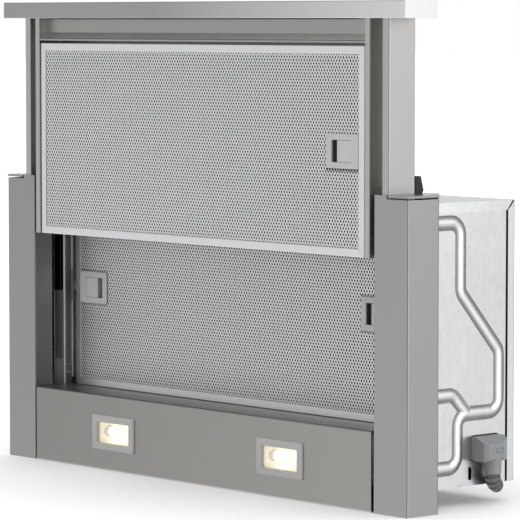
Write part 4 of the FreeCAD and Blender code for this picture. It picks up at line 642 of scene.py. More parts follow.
# Painted light: the cross member is much lighter behind -39.5 mm and below 293.3 mm, on its lower slope,
# standing in for light on that shaded face.
MEMBER_SHEET = BrushedSheet("member_sheet", (0.42, 0.416, 0.403), Grain.ACROSS,
                            patch=PaintedShadingPatch((0.95, 0.945, 0.93), beyond_y=-39.5, below_z=293.3))
# Painted shadow: the side panels are near black behind 107 mm and below 129 mm, a strip standing in for the
# shadow in the seam at the rear cover.
BOX_SHEET = GalvanisedSheet("box_sheet", (0.86, 0.87, 0.885),
                            patch=PaintedShadingPatch((0.01, 0.01, 0.01), beyond_y=107.0, below_z=129.0))
COVER_SHEET = GalvanisedSheet("rear_cover_sheet", (0.90, 0.91, 0.925), 0.32)
BACK_SHEET = GalvanisedSheet("back_sheet", (0.78, 0.79, 0.80), 0.4, Grain.ACROSS)
FRAME_SHEET = GalvanisedSheet("frame_sheet", (0.66, 0.67, 0.68), 0.5, Grain.ACROSS)
OUTER_ZINC = GalvanisedSheet("outer_rail_zinc", (0.84, 0.85, 0.86), 0.42)
# Painted shade: the inner rails are near black, standing in for the shade they lie in.
INNER_RAIL_SHADE = GalvanisedSheet("inner_rail_zinc", (0.07, 0.07, 0.07), 0.4)
BALL_STEEL = GalvanisedSheet("ball_steel", (0.50, 0.50, 0.505), 0.3)
RIM_METAL = BareAluminium("filter_rim_metal", (0.90, 0.90, 0.91), 0.42)
MESH_METAL = BareAluminium("filter_mesh_metal", (0.96, 0.96, 0.965), 0.4)
# Painted shade: the filter core behind the expanded metal is near black, standing in for the shade inside the
# filter.
CORE_PAINTED_SHADE = BareAluminium("filter_core_metal", (0.012, 0.012, 0.013), 0.6)
LATCH_GREY = MouldedPlastic("latch_grey", (0.44, 0.445, 0.45), 0.42)
# Painted shade: the latch tabs are near black beyond 239 mm from the middle, standing in for shade there.
TAB_GREY = MouldedPlastic("tab_grey", (0.45, 0.455, 0.46), 0.4,
                          patch=PaintedShadingPatch((0.12, 0.12, 0.12), beyond_x=239.0))
TRIM_GREY = MouldedPlastic("trim_grey", (0.40, 0.395, 0.385), 0.4)
LENS_GLASS = ClearGlass("lamp_cover_glass", (1.0, 0.97, 0.88))
# The dish carries a painted glow round the bulb's filament.
DISH_BRIGHT = PressedDish("lamp_dish", (0.80, 0.75, 0.62), (0.0, 0.0, 0.0))
BULB_LIT = LitGlass("lamp_bulb_glass", (1.0, 0.95, 0.84), (0.0, 0.0, 0.0))
STEATITE = Ceramic("lamp_socket_ceramic", (0.86, 0.83, 0.76))
STOP_RUBBER = SoftRubber("stop_rubber", (0.035, 0.026, 0.02))
BUSH_RUBBER = SoftRubber("bush_rubber", (0.03, 0.03, 0.03))
SCREW_ZINC = GalvanisedSheet("screw_zinc", (0.72, 0.73, 0.74), 0.26)
RIVET_BRIGHT = GalvanisedSheet("rivet_bright", (0.93, 0.93, 0.94), 0.16)
BLOWER_BLACK = MouldedPlastic("blower_black", (0.022, 0.022, 0.024), 0.55)
OUTLET_BLACK = MouldedPlastic("outlet_black", (0.03, 0.03, 0.032), 0.5)
FAN_GREY = MouldedPlastic("fan_grey", (0.10, 0.10, 0.105), 0.48)
SHIELD_CAST = BareAluminium("motor_shield_cast", (0.60, 0.60, 0.61), 0.5)
MOTOR_STEEL = GalvanisedSheet("motor_steel", (0.42, 0.42, 0.43), 0.42)
CAPACITOR_WHITE = MouldedPlastic("capacitor_white", (0.78, 0.78, 0.74), 0.4)
INLET_BLACK = MouldedPlastic("inlet_black", (0.008, 0.008, 0.009), 0.45)
CONNECTOR_GREY = MouldedPlastic("connector_grey", (0.25, 0.26, 0.27), 0.42, 1200.0)
BOOT_GREY = SoftRubber("boot_grey", (0.13, 0.135, 0.14), 0.5)


# ---------------------------------------------------------------- geometry helpers
class Palette:
    """Builds each finish once."""

    def __init__(self) -> None:
        """Start empty."""
        self.made: dict[str, bpy.types.Material] = {}

    def __getitem__(self, finish: Finish) -> bpy.types.Material:
        """Material of a finish.

        Args:
            finish: The finish.

        Returns:
            The material, made once.
        """
        if finish.name not in self.made:
            self.made[finish.name] = finish.build()
        return self.made[finish.name]


PALETTE = Palette()


def add_object(name: str, mesh: bpy.types.Mesh) -> bpy.types.Object:
    """Put a mesh in the scene.

    Args:
        name: The piece's name.
        mesh: Its mesh, in metres in the row frame.

    Returns:
        The object, at the origin.
    """
    piece = bpy.data.objects.new(name, mesh)
    bpy.context.scene.collection.objects.link(piece)
    return piece


def plain_mesh(name: str, points: Sequence[Point], faces: Sequence[Sequence[int]] = ()) -> bpy.types.Mesh:
    """A mesh from points in millimetres, as they are.

    Args:
        name: The mesh's name.
        points: Its vertices in millimetres.
        faces: Its faces, if it has any.

    Returns:
        The mesh.
    """
    mesh = bpy.data.meshes.new(name)
    mesh.from_pydata([[c * MM for c in point] for point in points], [], faces)
    return mesh


def mesh_of(name: str, points: Sequence[Point], faces: Sequence[Sequence[int]],
            finish: Finish | None = None) -> bpy.types.Mesh:
    """Make a mesh with its faces outwards.

    Args:
        name: The mesh's name.
        points: Its vertices in millimetres.
        faces: Its faces.
        finish: Its material, if it has one.

    Returns:
        The mesh, in metres.
    """
    mesh = plain_mesh(name, points, faces)
    work = bmesh.new()
    work.from_mesh(mesh)
    bmesh.ops.remove_doubles(work, verts=work.verts, dist=MERGE_WITHIN)
    bmesh.ops.recalc_face_normals(work, faces=work.faces)
    work.to_mesh(mesh)
    work.free()
    if finish:
        mesh.materials.append(PALETTE[finish])
    mesh.shade_flat()
    return mesh


def circle(radius: float, around: int) -> list[tuple[float, float]]:
    """Points round a circle."""
    turns = (2.0 * math.pi * i / around for i in range(around))
    return [(radius * math.cos(turn), radius * math.sin(turn)) for turn in turns]


def band(first: int, second: int, around: int) -> list[list[int]]:
    """Faces between two rings of points.

    Args:
        first: Number of the first ring's first point.
        second: Number of the second ring's first point.
        around: How many points each ring has.

    Returns:
        The faces.
    """
    steps = [(i, (i + 1) % around) for i in range(around)]
    return [[first + i, first + j, second + j, second + i] for i, j in steps]


def dress(frame: dict[str, Any], finish: Finish, *names: str) -> None:
    """Give CAD nodes their finish.

    Args:
        frame: The loaded frame.
        finish: The finish.
        names: The nodes.
    """
    for name in names:
        for slot in frame["nodes"][name].material_slots:
            slot.material = PALETTE[finish]
        LOG.info("dressed %s in %s", name, finish.name)


def settle(piece: bpy.types.Object, body: Body, slot: str, *nodes: str) -> None:
    """Tie a finished piece to its body and to the nodes that it stands for.

    Args:
        piece: The piece.
        body: The body that it rides on.
        slot: The record's material slot; not used.
        nodes: The CAD nodes that it replaces.
    """
    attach(piece, body.value)
    if nodes:
        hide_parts(*nodes)
    LOG.info("built %s: %d faces on %s", piece.name, len(piece.data.polygons), body.value)


class FieldKit(NodeKit):
    """Nodes of one geometry tree, with its named inputs."""

    def __init__(self, name: str) -> None:
        """Make the tree with its geometry input and output.

        Args:
            name: The tree's name.
        """
        tree = bpy.data.node_groups.new(name, "GeometryNodeTree")
        super().__init__(tree)
        tree.interface.new_socket(name="Geometry", in_out="OUTPUT", socket_type="NodeSocketGeometry")
        self.given = tree.nodes.new("NodeGroupInput")
        self.result = tree.nodes.new("NodeGroupOutput")
        self.values: dict[str, Any] = {}
        self.start = self.ask("Geometry", "NodeSocketGeometry")

    def ask(self, name: str, kind: str, value: Any = None) -> bpy.types.NodeSocket:
        """Add a named input.

        Args:
            name: The input's name.
            kind: Its socket's type.
            value: What the modifier sets it to.

        Returns:
            The socket inside the tree.
        """
        item = self.tree.interface.new_socket(name=name, in_out="INPUT", socket_type=kind)
        if value is not None:
            self.values[item.identifier] = value
        return self.given.outputs[name]

    def size(self, name: str, value: float) -> Level:
        """Add a named number input."""
        return Level(self, self.ask(name, "NodeSocketFloat", value))

    def point(self, x: Any = 0.0, y: Any = 0.0, z: Any = 0.0) -> bpy.types.NodeSocket:
        """Combine three numbers into a vector."""
        return self.node("ShaderNodeCombineXYZ", {}, {0: x, 1: y, 2: z})

    def close(self, geometry: bpy.types.NodeSocket, finish: Finish) -> None:
        """Realise the instances, set the material and link the output.

        Args:
            geometry: What the tree has made.
            finish: Its finish.
        """
        real = self.node("GeometryNodeRealizeInstances", {}, {"Geometry": geometry})
        material = self.ask("Material", "NodeSocketMaterial", PALETTE[finish])
        self.feed(self.result.inputs[0],
                  self.node("GeometryNodeSetMaterial", {}, {"Geometry": real, "Material": material}))

    def scatter(self, name: str, head: bpy.types.Mesh, seats: Sequence[Point], turn: bpy.types.NodeSocket,
                finish: Finish) -> bpy.types.Object:
        """Set one head on every seat.

        Args:
            name: The finished piece's name.
            head: The head's mesh, about its seat.
            seats: The seats, in millimetres.
            turn: How each head is turned.
            finish: Its finish.

        Returns:
            The piece.
        """
        master = add_object(f"{name}_master", head)
        part = self.ask("Head", "NodeSocketObject", master)
        shape = self.node("GeometryNodeObjectInfo", {}, {"Object": part}, "Geometry")
        inputs = {"Points": self.start, "Instance": shape, "Rotation": turn}
        self.close(self.node("GeometryNodeInstanceOnPoints", {}, inputs), finish)
        piece = self.apply(add_object(name, plain_mesh(f"{name}_seats", seats)))
        bpy.data.objects.remove(master)
        return piece

    def apply(self, piece: bpy.types.Object) -> bpy.types.Object:
        """Run the tree on an object and keep its result as a plain mesh.

        Args:
            piece: The object, whose data feeds the tree.

        Returns:
            A new object with the finished mesh.
        """
        modifier = piece.modifiers.new("rule", "NODES")
        modifier.node_group = self.tree
        for identifier, value in self.values.items():
            modifier[identifier] = value
        graph = bpy.context.evaluated_depsgraph_get()
        graph.update()
        mesh = bpy.data.meshes.new_from_object(piece.evaluated_get(graph))
        mesh.name = name = piece.name
        piece.modifiers.remove(modifier)
        bpy.data.objects.remove(piece)
        return add_object(name, mesh)


# ---------------------------------------------------------------- sub-assemblies
@dataclass
class FilterPanel:
    """Grease filter: mitred aluminium rim, expanded-metal face and latch plates."""

    name: str
    body: Body
    front: float
    bottom: float
    latch_level: float
    latch_left: bool
    # Painted shading: the two factors below scale the mesh and rim colours for each filter, standing in for
    # how light falls on it.
    mesh_painted_shading: float = 1.12
    rim_tone: float = 1.0
    half_width: float = 241.5
    height: float = 193.8
    depth: float = 9.0
    rim: float = 7.7
    wall: float = 1.0
    fold: float = 0.8
    fold_steps: int = 4
    hem: float = 0.3
    mitre_gap: float = 0.12
    column_pitch: float = 3.72
    row_pitch: float = 3.02
    hole_share: float = 0.64
    relief: float = 0.1
    lean: float = 0.05
    strand: float = 0.2
    lattice_inset: float = 0.62
    plate_edge: float = 189.9
    plate_half_height: float = 16.5
    pocket_shade: Colour = (0.06, 0.06, 0.06)
    pocket_depth: float = 1.2
    lap: float = 1.4

    def section(self) -> list[tuple[float, float]]:
        """Section of the rim as distances inwards and back.

        Returns:
            The points, in order round the channel.
        """
        rim, wall, depth, fold, hem = self.rim, self.wall, self.depth, self.fold, self.hem
        turns = [math.radians(step * 90.0 / self.fold_steps) for step in range(self.fold_steps + 1)]
        corner = [(fold * (1.0 - math.sin(a)), fold * (1.0 - math.cos(a))) for a in turns]
        inside = [(rim - hem, 0.0), (rim, hem), (rim, wall), (wall, wall), (wall, depth - wall),
                  (rim, depth - wall), (rim, depth - hem), (rim - hem, depth)]
        return [*reversed(corner), *inside, *((u, depth - v) for u, v in corner)]

    def build_rim(self) -> bpy.types.Object:
        """Rim of four channels that meet in mitres.

        Returns:
            The piece.
        """
        section = self.section()
        middle = self.bottom + self.height / 2.0
        half = (self.half_width, self.height / 2.0)
        points: list[Point] = []
        faces: list[list[int]] = []
        for quarter in range(4):
            along, across = (half[0], half[1]) if quarter % 2 == 0 else (half[1], half[0])
            sign = 1.0 if quarter < 2 else -1.0
            first = len(points)
            for end in (-1.0, 1.0):
                for inward, back in section:
                    run = end * (along - inward - self.mitre_gap)
                    side = sign * (across - inward)
                    x, z = (run, side) if quarter % 2 == 0 else (side, run)
                    points.append((x, self.front + back, middle + z))
            count = len(section)
            faces += band(first, first + count, count)
            faces += [list(range(first, first + count)), list(range(first + count, first + 2 * count))]
        metal = self.toned(RIM_METAL, "rim_metal", self.rim_tone)
        return add_object(f"{self.name}_rim_dressed", mesh_of(f"{self.name}_rim", points, faces, metal))

    def cell(self) -> bpy.types.Mesh:
        """One mesh cell: four strands round a diamond hole, with the hole's walls.

        Returns:
            The mesh, about its own middle.
        """
        wide, high = self.column_pitch / 2.0, self.row_pitch
        outer = [(wide, 0.0, 0.0), (0.0, 0.0, high), (-wide, 0.0, 0.0), (0.0, 0.0, -high)]
        leans = (0.0, -self.lean, 0.0, self.lean)
        share = self.hole_share
        inner = [(x * share, lean - self.relief, z * share) for (x, _, z), lean in zip(outer, leans)]
        back = [(x, y + self.strand, z) for x, y, z in inner + outer]
        faces = []
        for i in range(4):
            j = (i + 1) % 4
            faces += [[i, 4 + i, 4 + j, j], [4 + i, 8 + i, 8 + j, 4 + j], [8 + i, 12 + i, 12 + j, 8 + j]]
        return plain_mesh("mesh_cell", outer + inner + back, faces)

    def toned(self, finish: Finish, name: str, tone: float) -> Finish:
        """This filter's copy of a finish, its colour scaled as painted shading."""
        return replace(finish, name=f"{self.name}_{name}", colour=shade(finish.colour, tone))

    def build_lattice(self) -> bpy.types.Object:
        """Expanded-metal face: staggered cells that leave room for the latch plates.

        Returns:
            The piece.
        """
        kit = FieldKit(f"{self.name}_lattice")
        half = self.half_width - self.rim + self.lap
        columns = int(2.0 * half / self.column_pitch)
        rows = int((self.height - 2.0 * (self.rim - self.lap)) / self.row_pitch)
        count, pitch = kit.size("Columns", columns), kit.size("Column Pitch", self.column_pitch * MM)
        layers, step = kit.size("Rows", rows), kit.size("Row Pitch", self.row_pitch * MM)
        level = kit.size("Middle Level", (self.bottom + self.height / 2.0) * MM)
        face = kit.size("Face", (self.front + self.lattice_inset) * MM)
        edge = kit.size("Plate Edge", self.plate_edge * MM)
        plate_level = kit.size("Plate Level", self.latch_level * MM)
        plate_half = kit.size("Plate Half Height", self.plate_half_height * MM)
        both = kit.size("Plate On Left", 1.0 if self.latch_left else 0.0)
        index = kit.level("GeometryNodeInputIndex")
        row = (index / count).join("FLOOR")
        column = index % count
        x = (column - (count - 1.0) * 0.5 + (row % 2.0) * 0.5 - 0.25) * pitch
        z = (row - (layers - 1.0) * 0.5) * step + level
        places = {"Count": count * layers, "Position": kit.point(x, face, z)}
        dots = kit.node("GeometryNodePoints", {}, places)
        place = kit.node("GeometryNodeInputPosition")
        across = kit.level("ShaderNodeSeparateXYZ", {}, {0: place}, "X")
        up = kit.level("ShaderNodeSeparateXYZ", {}, {0: place}, "Z")
        beside = (edge < across) + (edge < across * -1.0) * both
        masked = beside * (abs(up - plate_level) < plate_half)
        left = kit.node("GeometryNodeDeleteGeometry", {"domain": "POINT"},
                        {"Geometry": dots, "Selection": masked})
        cells = kit.node("GeometryNodeInstanceOnPoints", {}, {"Points": left, "Instance": kit.start})
        kit.close(cells, self.toned(MESH_METAL, "mesh_metal", self.mesh_painted_shading))
        return kit.apply(add_object(f"{self.name}_lattice", self.cell()))

    def make(self, frame: dict[str, Any]) -> None:
        """Build and dress the filter.

        Args:
            frame: The loaded frame.
        """
        settle(self.build_rim(), self.body, "filter_rim", f"{self.name}_rim")
        settle(self.build_lattice(), self.body, "filter_mesh")
        # The CAD core behind the lattice is dressed near black as painted shade.
        dress(frame, CORE_PAINTED_SHADE, f"{self.name}_mesh")
        part = self.name.split("_")[0]
        plates = [n for n in frame["nodes"] if n.startswith(f"{part}_latch_plate")]
        tabs = [n for n in frame["nodes"] if n.startswith(f"{part}_latch_tab")]
        pocket = PaintedShadingPatch(self.pocket_shade, beyond_y=self.front + self.pocket_depth)
        dress(frame, replace(LATCH_GREY, name=f"{part}_latch_grey", patch=pocket), *sorted(plates))
        dress(frame, TAB_GREY, *sorted(tabs))


@dataclass
class ScrewSet:
    """Pan-head screws of the rear cover with their cross recesses."""

    columns: tuple[float, ...] = (-265.0, -90.0, 90.0, 265.0)
    rows: tuple[float, ...] = (-119.5, 131.4)
    seat: float = 119.4
    head_radius: float = 3.6
    head_height: float = 1.8
    crown: tuple[float, ...] = (0.0, 20.0, 40.0, 55.0, 68.0)
    recess: float = 1.9
    recess_taper: float = 0.55
    slot: float = 0.32
    slot_root: float = 1.3
    depth: float = 1.1
    shank_radius: float = 1.4
    shank_length: float = 9.0
    seed: int = 7
    around: int = 32

    def screw(self) -> bpy.types.Mesh:
        """One screw about its seat, pointing rearward.

        Returns:
            The mesh.
        """
        around = self.around
        head = [(self.head_radius * math.cos(t) ** 0.5, self.head_height * math.sin(t) ** 0.8)
                for t in map(math.radians, self.crown)]
        profile = [(self.shank_radius, -self.shank_length), (self.shank_radius, 0.0), (self.head_radius, 0.0),
                   *head[1:]]
        points: list[Point] = [(0.0, -self.shank_length, 0.0)]
        for radius, y in profile:
            points += [(x, y, z) for x, z in circle(radius, around)]
        starts = [1 + ring * around for ring in range(len(profile))]
        faces = [face for first, second in zip(starts, starts[1:]) for face in band(first, second, around)]
        faces += [[0, 1 + (i + 1) % around, 1 + i] for i in range(around)]
        cross = len(points)
        top = profile[-1][1]
        reaches = [self.cross_reach(2.0 * math.pi * i / around) for i in range(around)]
        for y, scale in ((top, 1.0), (top - self.depth, self.recess_taper)):
            points += [(reach * scale * x, y, reach * scale * z)
                       for (x, z), reach in zip(circle(1.0, around), reaches)]
        faces += band(starts[-1], cross, around) + band(cross, cross + around, around)
        faces.append(list(range(cross + around, cross + 2 * around)))
        return mesh_of("cover_screw", points, faces)

    def cross_reach(self, angle: float) -> float:
        """Reach of the cross recess in a direction.

        Args:
            angle: The direction, in radians.

        Returns:
            The distance from the screw's axis.
        """
        off = (angle + math.pi / 4.0) % (math.pi / 2.0) - math.pi / 4.0
        blunt = self.slot / max(abs(math.sin(off)), 1e-3)
        return max(min(self.recess, blunt), self.slot * self.slot_root)

    def make(self) -> None:
        """Set the screws in their holes, each turned its own way."""
        kit = FieldKit("cover_screws")
        seed = kit.ask("Seed", "NodeSocketInt", self.seed)
        spread = kit.size("Turn", math.pi / 2.0)
        turn = kit.node("FunctionNodeRandomValue", {"data_type": "FLOAT"},
                        {2: 0.0, 3: spread, "Seed": seed}, 1)
        seats = [(x, self.seat, z) for x in self.columns for z in self.rows]
        piece = kit.scatter("cover_screws_dressed", self.screw(), seats, kit.point(y=turn), SCREW_ZINC)
        settle(piece, Body.HOUSING, "screw_zinc", "cover_screws")


@dataclass
class RailRivets:
    """Domed rivets at the foot of each outer rail, on its inboard flange."""

    flange: float = 253.5
    depths: tuple[float, ...] = (0.2, 5.0)
    levels: tuple[float, ...] = (-50.5, -58.0)
    radius: float = 1.6
    dome: float = 0.9
    crown: tuple[float, ...] = (0.0, 22.5, 45.0, 67.5)
    brim: float = 0.25
    around: int = 20

    def rivet(self) -> bpy.types.Mesh:
        """One rivet head about its seat, pointing along X.

        Returns:
            The mesh.
        """
        around = self.around
        rings = [(self.radius, 0.0), *((self.radius * math.cos(t), self.brim + self.dome * math.sin(t))
                                       for t in map(math.radians, self.crown))]
        points: list[Point] = [(high, y, z) for radius, high in rings for y, z in circle(radius, around)]
        starts = [ring * around for ring in range(len(rings))]
        faces = [face for first, second in zip(starts, starts[1:]) for face in band(first, second, around)]
        faces += [list(range(first, first + around)) for first in (starts[0], starts[-1])]
        return mesh_of("rail_rivet", points, faces)

    def make(self) -> None:
        """Set the rivets on both rails, facing the middle."""
        kit = FieldKit("rail_rivets")
        across = kit.level("ShaderNodeSeparateXYZ", {}, {0: kit.node("GeometryNodeInputPosition")}, "X")
        turn = kit.point(z=(across > 0.0) * math.pi)
        seats = [(side * self.flange, y, z) for side in (-1.0, 1.0) for y in self.depths for z in self.levels]
        piece = kit.scatter("rail_rivets", self.rivet(), seats, turn, RIVET_BRIGHT)
        settle(piece, Body.HOUSING, "rail_zinc")


@dataclass
class StrainRelief:
    """Ribbed boot that bends from the connector's neck under the box."""

    neck: Point = (289.2, 79.3, -115.0)
    heading: tuple[float, float] = (-0.34, 0.94)
    bend_radius: float = 13.0
    bend: float = 75.0
    radii: tuple[float, float] = (7.8, 6.8)
    groove: float = 2.0
    ribs: float = 4.0
    rib_edge: float = 2.4
    rib_share: float = 0.3
    steps: int = 96
    around: int = 40

    def path(self) -> bpy.types.Curve:
        """Centreline of the boot.

        Returns:
            The curve.
        """
        length = math.hypot(*self.heading)
        inward = Vector((*(way / length for way in self.heading), 0.0))
        centre = Vector(self.neck) + inward * self.bend_radius
        curve = bpy.data.curves.new("boot_path", "CURVE")
        curve.dimensions = "3D"
        line = curve.splines.new("POLY")
        line.points.add(self.steps)
        for i in range(self.steps + 1):
            angle = math.radians(self.bend) * i / self.steps
            place = centre - inward * (self.bend_radius * math.cos(angle))
            place.z -= self.bend_radius * math.sin(angle)
            line.points[i].co = (*(place * MM), 1.0)
        return curve

    def make(self) -> None:
        """Sweep the boot along its centreline, with its ribs."""
        kit = FieldKit("ribbed_boot")
        wide = kit.size("Start Radius", self.radii[0] * MM)
        narrow = kit.size("End Radius", self.radii[1] * MM)
        depth, ribs = kit.size("Groove", self.groove * MM), kit.size("Ribs", self.ribs)
        along = kit.level("GeometryNodeSplineParameter", output="Factor")
        wave = (along * ribs * (2.0 * math.pi)).join("COSINE") * self.rib_edge + self.rib_share
        wave = wave.join("MINIMUM", 1.0).join("MAXIMUM", -1.0) * 0.5 + 0.5
        radius = wide + (narrow - wide) * along - depth * (1.0 - wave)
        ring = kit.node("GeometryNodeCurvePrimitiveCircle", {"mode": "RADIUS"},
                        {"Resolution": self.around, "Radius": 1.0}, "Curve")
        sized = kit.node("GeometryNodeSetCurveRadius", {}, {0: kit.start, "Radius": radius})
        tube = kit.node("GeometryNodeCurveToMesh", {},
                        {"Curve": sized, "Profile Curve": ring, "Fill Caps": True, "Scale": radius})
        kit.close(tube, BOOT_GREY)
        piece = kit.apply(add_object("connector_boot_dressed", self.path()))
        piece.data.shade_smooth()
        settle(piece, Body.HOUSING, "boot_rubber", "connector_boot")


@dataclass
class CabinetPosts:
    """Upright posts, the collar plate over them and the slide's end stops."""

    sides: tuple[str, ...] = SIDES

    def make(self, frame: dict[str, Any]) -> None:
        """Dress the posts, collar and stops.

        Args:
            frame: The loaded frame.
        """
        dress(frame, POST_SHEET, *(f"post_{side}" for side in self.sides))
        dress(frame, COLLAR_SHEET, "collar_plate")
        dress(frame, STOP_RUBBER, "slide_stops")


@dataclass
class LampBank:
    """Lamp panel with two halogen fittings."""

    sides: tuple[str, ...] = SIDES
    filaments: tuple[Point, ...] = ((-134.4, -27.2, -107.3), (116.7, -27.2, -107.3))

    def make(self, frame: dict[str, Any]) -> None:
        """Dress the panel and its fittings.

        Args:
            frame: The loaded frame.
        """
        dress(frame, PANEL_SHEET, "lamp_panel")
        for side, centre in zip(self.sides, self.filaments):
            dish = replace(DISH_BRIGHT, name=f"lamp_dish_{side}", centre=centre)
            bulb = replace(BULB_LIT, name=f"lamp_glass_{side}", centre=centre)
            dress(frame, TRIM_GREY, f"lamp_trim_{side}")
            dress(frame, LENS_GLASS, f"lamp_lens_{side}")
            dress(frame, dish, f"lamp_reflector_{side}")
            dress(frame, bulb, f"lamp_bulb_{side}")
        dress(frame, STEATITE, "lamp_sockets")


@dataclass
class Slide:
    """Telescopic slide: channels, handle bar, cross member, back and its runners."""

    sides: tuple[str, ...] = SIDES
    rivets: RailRivets = field(default_factory=RailRivets)

    def make(self, frame: dict[str, Any]) -> None:
        """Dress the slide and set the rivets of its rails.

        Args:
            frame: The loaded frame.
        """
        self.rivets.make()
        dress(frame, BAR_SHEET, "handle_bar")
        dress(frame, MEMBER_SHEET, "cross_member")
        dress(frame, BACK_SHEET, "slide_back")
        for side in self.sides:
            dress(frame, SLIDE_SHEET, f"side_channel_{side}")
            # The inner rails are dressed near black as painted shade.
            dress(frame, INNER_RAIL_SHADE, f"inner_rail_{side}")
            dress(frame, OUTER_ZINC, f"outer_rail_{side}")
            dress(frame, BALL_STEEL, f"ball_cage_{side}")


@dataclass
class BlowerBox:
    """Galvanised box round the blower."""

    screws: ScrewSet = field(default_factory=ScrewSet)

    def make(self, frame: dict[str, Any]) -> None:
        """Dress the box and set its screws.

        Args:
            frame: The loaded frame.
        """
        dress(frame, BOX_SHEET, "side_panel_left", "side_panel_right")
        dress(frame, COVER_SHEET, "rear_cover")
        dress(frame, BACK_SHEET, "box_top", "box_bottom")
        dress(frame, FRAME_SHEET, "intake_frame")
        self.screws.make()


@dataclass
class Blower:
    """Spiral housing, drum fan, motor and outlet."""

    def make(self, frame: dict[str, Any]) -> None:
        """Dress the blower.

        Args:
            frame: The loaded frame.
        """
        dress(frame, BLOWER_BLACK, "blower_scroll", "scroll_cover", "terminal_box", "flap_left", "flap_right")
        dress(frame, OUTLET_BLACK, "outlet_collar")
        dress(frame, FAN_GREY, "impeller")
        dress(frame, SHIELD_CAST, "motor_shield_front", "motor_shield_rear")
        dress(frame, MOTOR_STEEL, "motor_rotor", "motor_core", "shaft_bearings")
        dress(frame, BUSH_RUBBER, "motor_mounts")
        dress(frame, CAPACITOR_WHITE, "motor_capacitor")


@dataclass
class MainsEntry:
    """Mains inlet with its right-angled connector."""

    boot: StrainRelief = field(default_factory=StrainRelief)

    def make(self, frame: dict[str, Any]) -> None:
        """Dress the inlet and connector and build the boot.

        Args:
            frame: The loaded frame.
        """
        dress(frame, INLET_BLACK, "mains_inlet")
        dress(frame, CONNECTOR_GREY, "connector")
        self.boot.make()


# ---------------------------------------------------------------- studio
@dataclass(frozen=True)
class Lobe:
    """Soft patch of brightness on the dome."""

    azimuth: float
    strength: float
    sharpness: float
    height: float = 0.0

    def heading(self) -> Point:
        """Unit vector towards its middle."""
        turn, rise = math.radians(self.azimuth), math.radians(self.height)
        return (math.cos(turn) * math.cos(rise), math.sin(turn) * math.cos(rise), math.sin(rise))


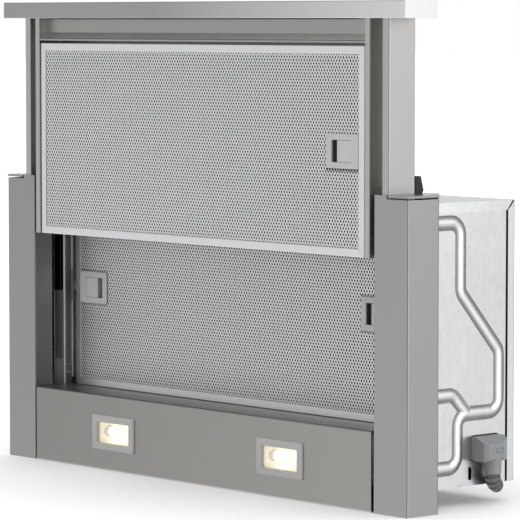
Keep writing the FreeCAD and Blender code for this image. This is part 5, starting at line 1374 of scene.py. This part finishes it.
@dataclass
class Studio:
    """Pale floor, soft light and the photograph's camera."""

    floor_size: float = 60.0
    lens: float = 231.31
    sensor: float = 36.0
    clip: tuple[float, float] = (0.05, 200.0)
    camera_place: Point = (2.47132, -2.12158, 0.30602)
    yaw: float = 48.762
    pitch: float = 4.107
    dome: float = 0.22
    lobes: tuple[Lobe, ...] = (Lobe(17.0, 1.5, 7.0), Lobe(-105.0, 0.7, 3.0), Lobe(139.0, 1.2, 7.0),
                               Lobe(177.0, 1.1, 4.0, -41.0))
    softbox_place: Point = (3.2, 1.6, 1.3)
    softbox_power: float = 10.0
    softbox_side: float = 2.0
    aim: Point = (0.0, 0.0, 0.05)
    sky_power: float = 2.9
    sky_spread: float = 110.0

    def camera(self) -> None:
        """Place the camera."""
        data = bpy.data.cameras.new("camera")
        data.lens, data.sensor_width, data.sensor_fit = self.lens, self.sensor, "HORIZONTAL"
        data.clip_start, data.clip_end = self.clip
        camera = bpy.data.objects.new("camera", data)
        camera.location = self.camera_place
        camera.rotation_euler = (math.radians(90.0 - self.pitch), 0.0, math.radians(self.yaw))
        bpy.context.scene.collection.objects.link(camera)
        bpy.context.scene.camera = camera

    def floor(self, level: float) -> None:
        """Lay the floor.

        Args:
            level: Its height.
        """
        half = self.floor_size / MM / 2.0
        corners = [(-half, -half), (half, -half), (half, half), (-half, half)]
        mesh = mesh_of("floor", [(x, y, level / MM) for x, y in corners], [[0, 1, 2, 3]])
        kit = ShaderKit("pale_floor")
        grain = kit.even_noise(30.0, 2.0)
        kit.shape(Base_Color=kit.tint(grain, (0.95, 0.95, 0.95), (0.97, 0.97, 0.97)), Roughness=0.9)
        kit.hide_from_mirrors()
        mesh.materials.append(kit.material)
        add_object("floor", mesh)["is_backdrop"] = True

    def softbox(self) -> None:
        """Hang a square softbox at the side, facing the object."""
        data = bpy.data.lights.new("softbox_side", "AREA")
        data.energy, data.shape, data.size = self.softbox_power, "SQUARE", self.softbox_side
        light = bpy.data.objects.new("softbox_side", data)
        light.location = self.softbox_place
        facing = Vector(self.aim) - Vector(self.softbox_place)
        light.rotation_euler = facing.to_track_quat("-Z", "Y").to_euler()
        bpy.context.scene.collection.objects.link(light)

    def overhead(self) -> None:
        """Spread soft light from straight above, which lights the floor and isn't mirrored in the metal."""
        data = bpy.data.lights.new("overhead", "SUN")
        data.energy, data.angle = self.sky_power, math.radians(self.sky_spread)
        light = bpy.data.objects.new("overhead", data)
        light.visible_glossy = False
        bpy.context.scene.collection.objects.link(light)

    def world(self) -> None:
        """White behind the object; as light, a grey dome with soft bright patches."""
        world = bpy.data.worlds.new("surround")
        world.use_nodes = True
        bpy.context.scene.world = world
        kit = NodeKit(world.node_tree)
        kit.tree.nodes.clear()
        heading = kit.node("ShaderNodeTexCoord", output="Generated")
        seen = kit.level("ShaderNodeLightPath", output="Is Camera Ray")
        level: Level | float = self.dome
        for lobe in self.lobes:
            near = kit.level("ShaderNodeVectorMath", {"operation": "DOT_PRODUCT"},
                             {0: heading, 1: lobe.heading()}, "Value")
            level = near.join("MAXIMUM", 0.0) ** lobe.sharpness * lobe.strength + level
        strength = seen + (1.0 - seen) * level
        light = kit.node("ShaderNodeBackground", {}, {"Color": WHITE, "Strength": strength})
        out = kit.tree.nodes.new("ShaderNodeOutputWorld")
        kit.tree.links.new(light, out.inputs[0])

    def make(self, level: float) -> None:
        """Set the studio up.

        Args:
            level: The floor's height.
        """
        scene = bpy.context.scene
        scene.view_settings.view_transform = "Standard"
        self.world()
        self.floor(level)
        self.softbox()
        self.overhead()
        self.camera()
        LOG.info("studio ready, floor at %.4f m", level)


def main() -> None:
    """Build the dressed model and its studio."""
    logging.basicConfig(level=logging.INFO, format="%(name)s: %(message)s")
    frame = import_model()
    cad_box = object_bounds()
    assemblies = [
        CabinetPosts(),
        LampBank(),
        # Painted shading: the upper filter's mesh lighter by the default 1.12; the lower filter's mesh darker
        # (0.92) and its rim lighter (1.3).
        FilterPanel("upper_filter", Body.SLIDE, -40.5, 89.0, 185.7, False),
        FilterPanel("lower_filter", Body.HOUSING, 3.5, -69.2, 32.3, True, 0.92, 1.3),
        Slide(),
        BlowerBox(),
        Blower(),
        MainsEntry(),
    ]
    for assembly in assemblies:
        assembly.make(frame)
    Studio().make(cad_box[0][2])


if __name__ == "__main__":
    main()
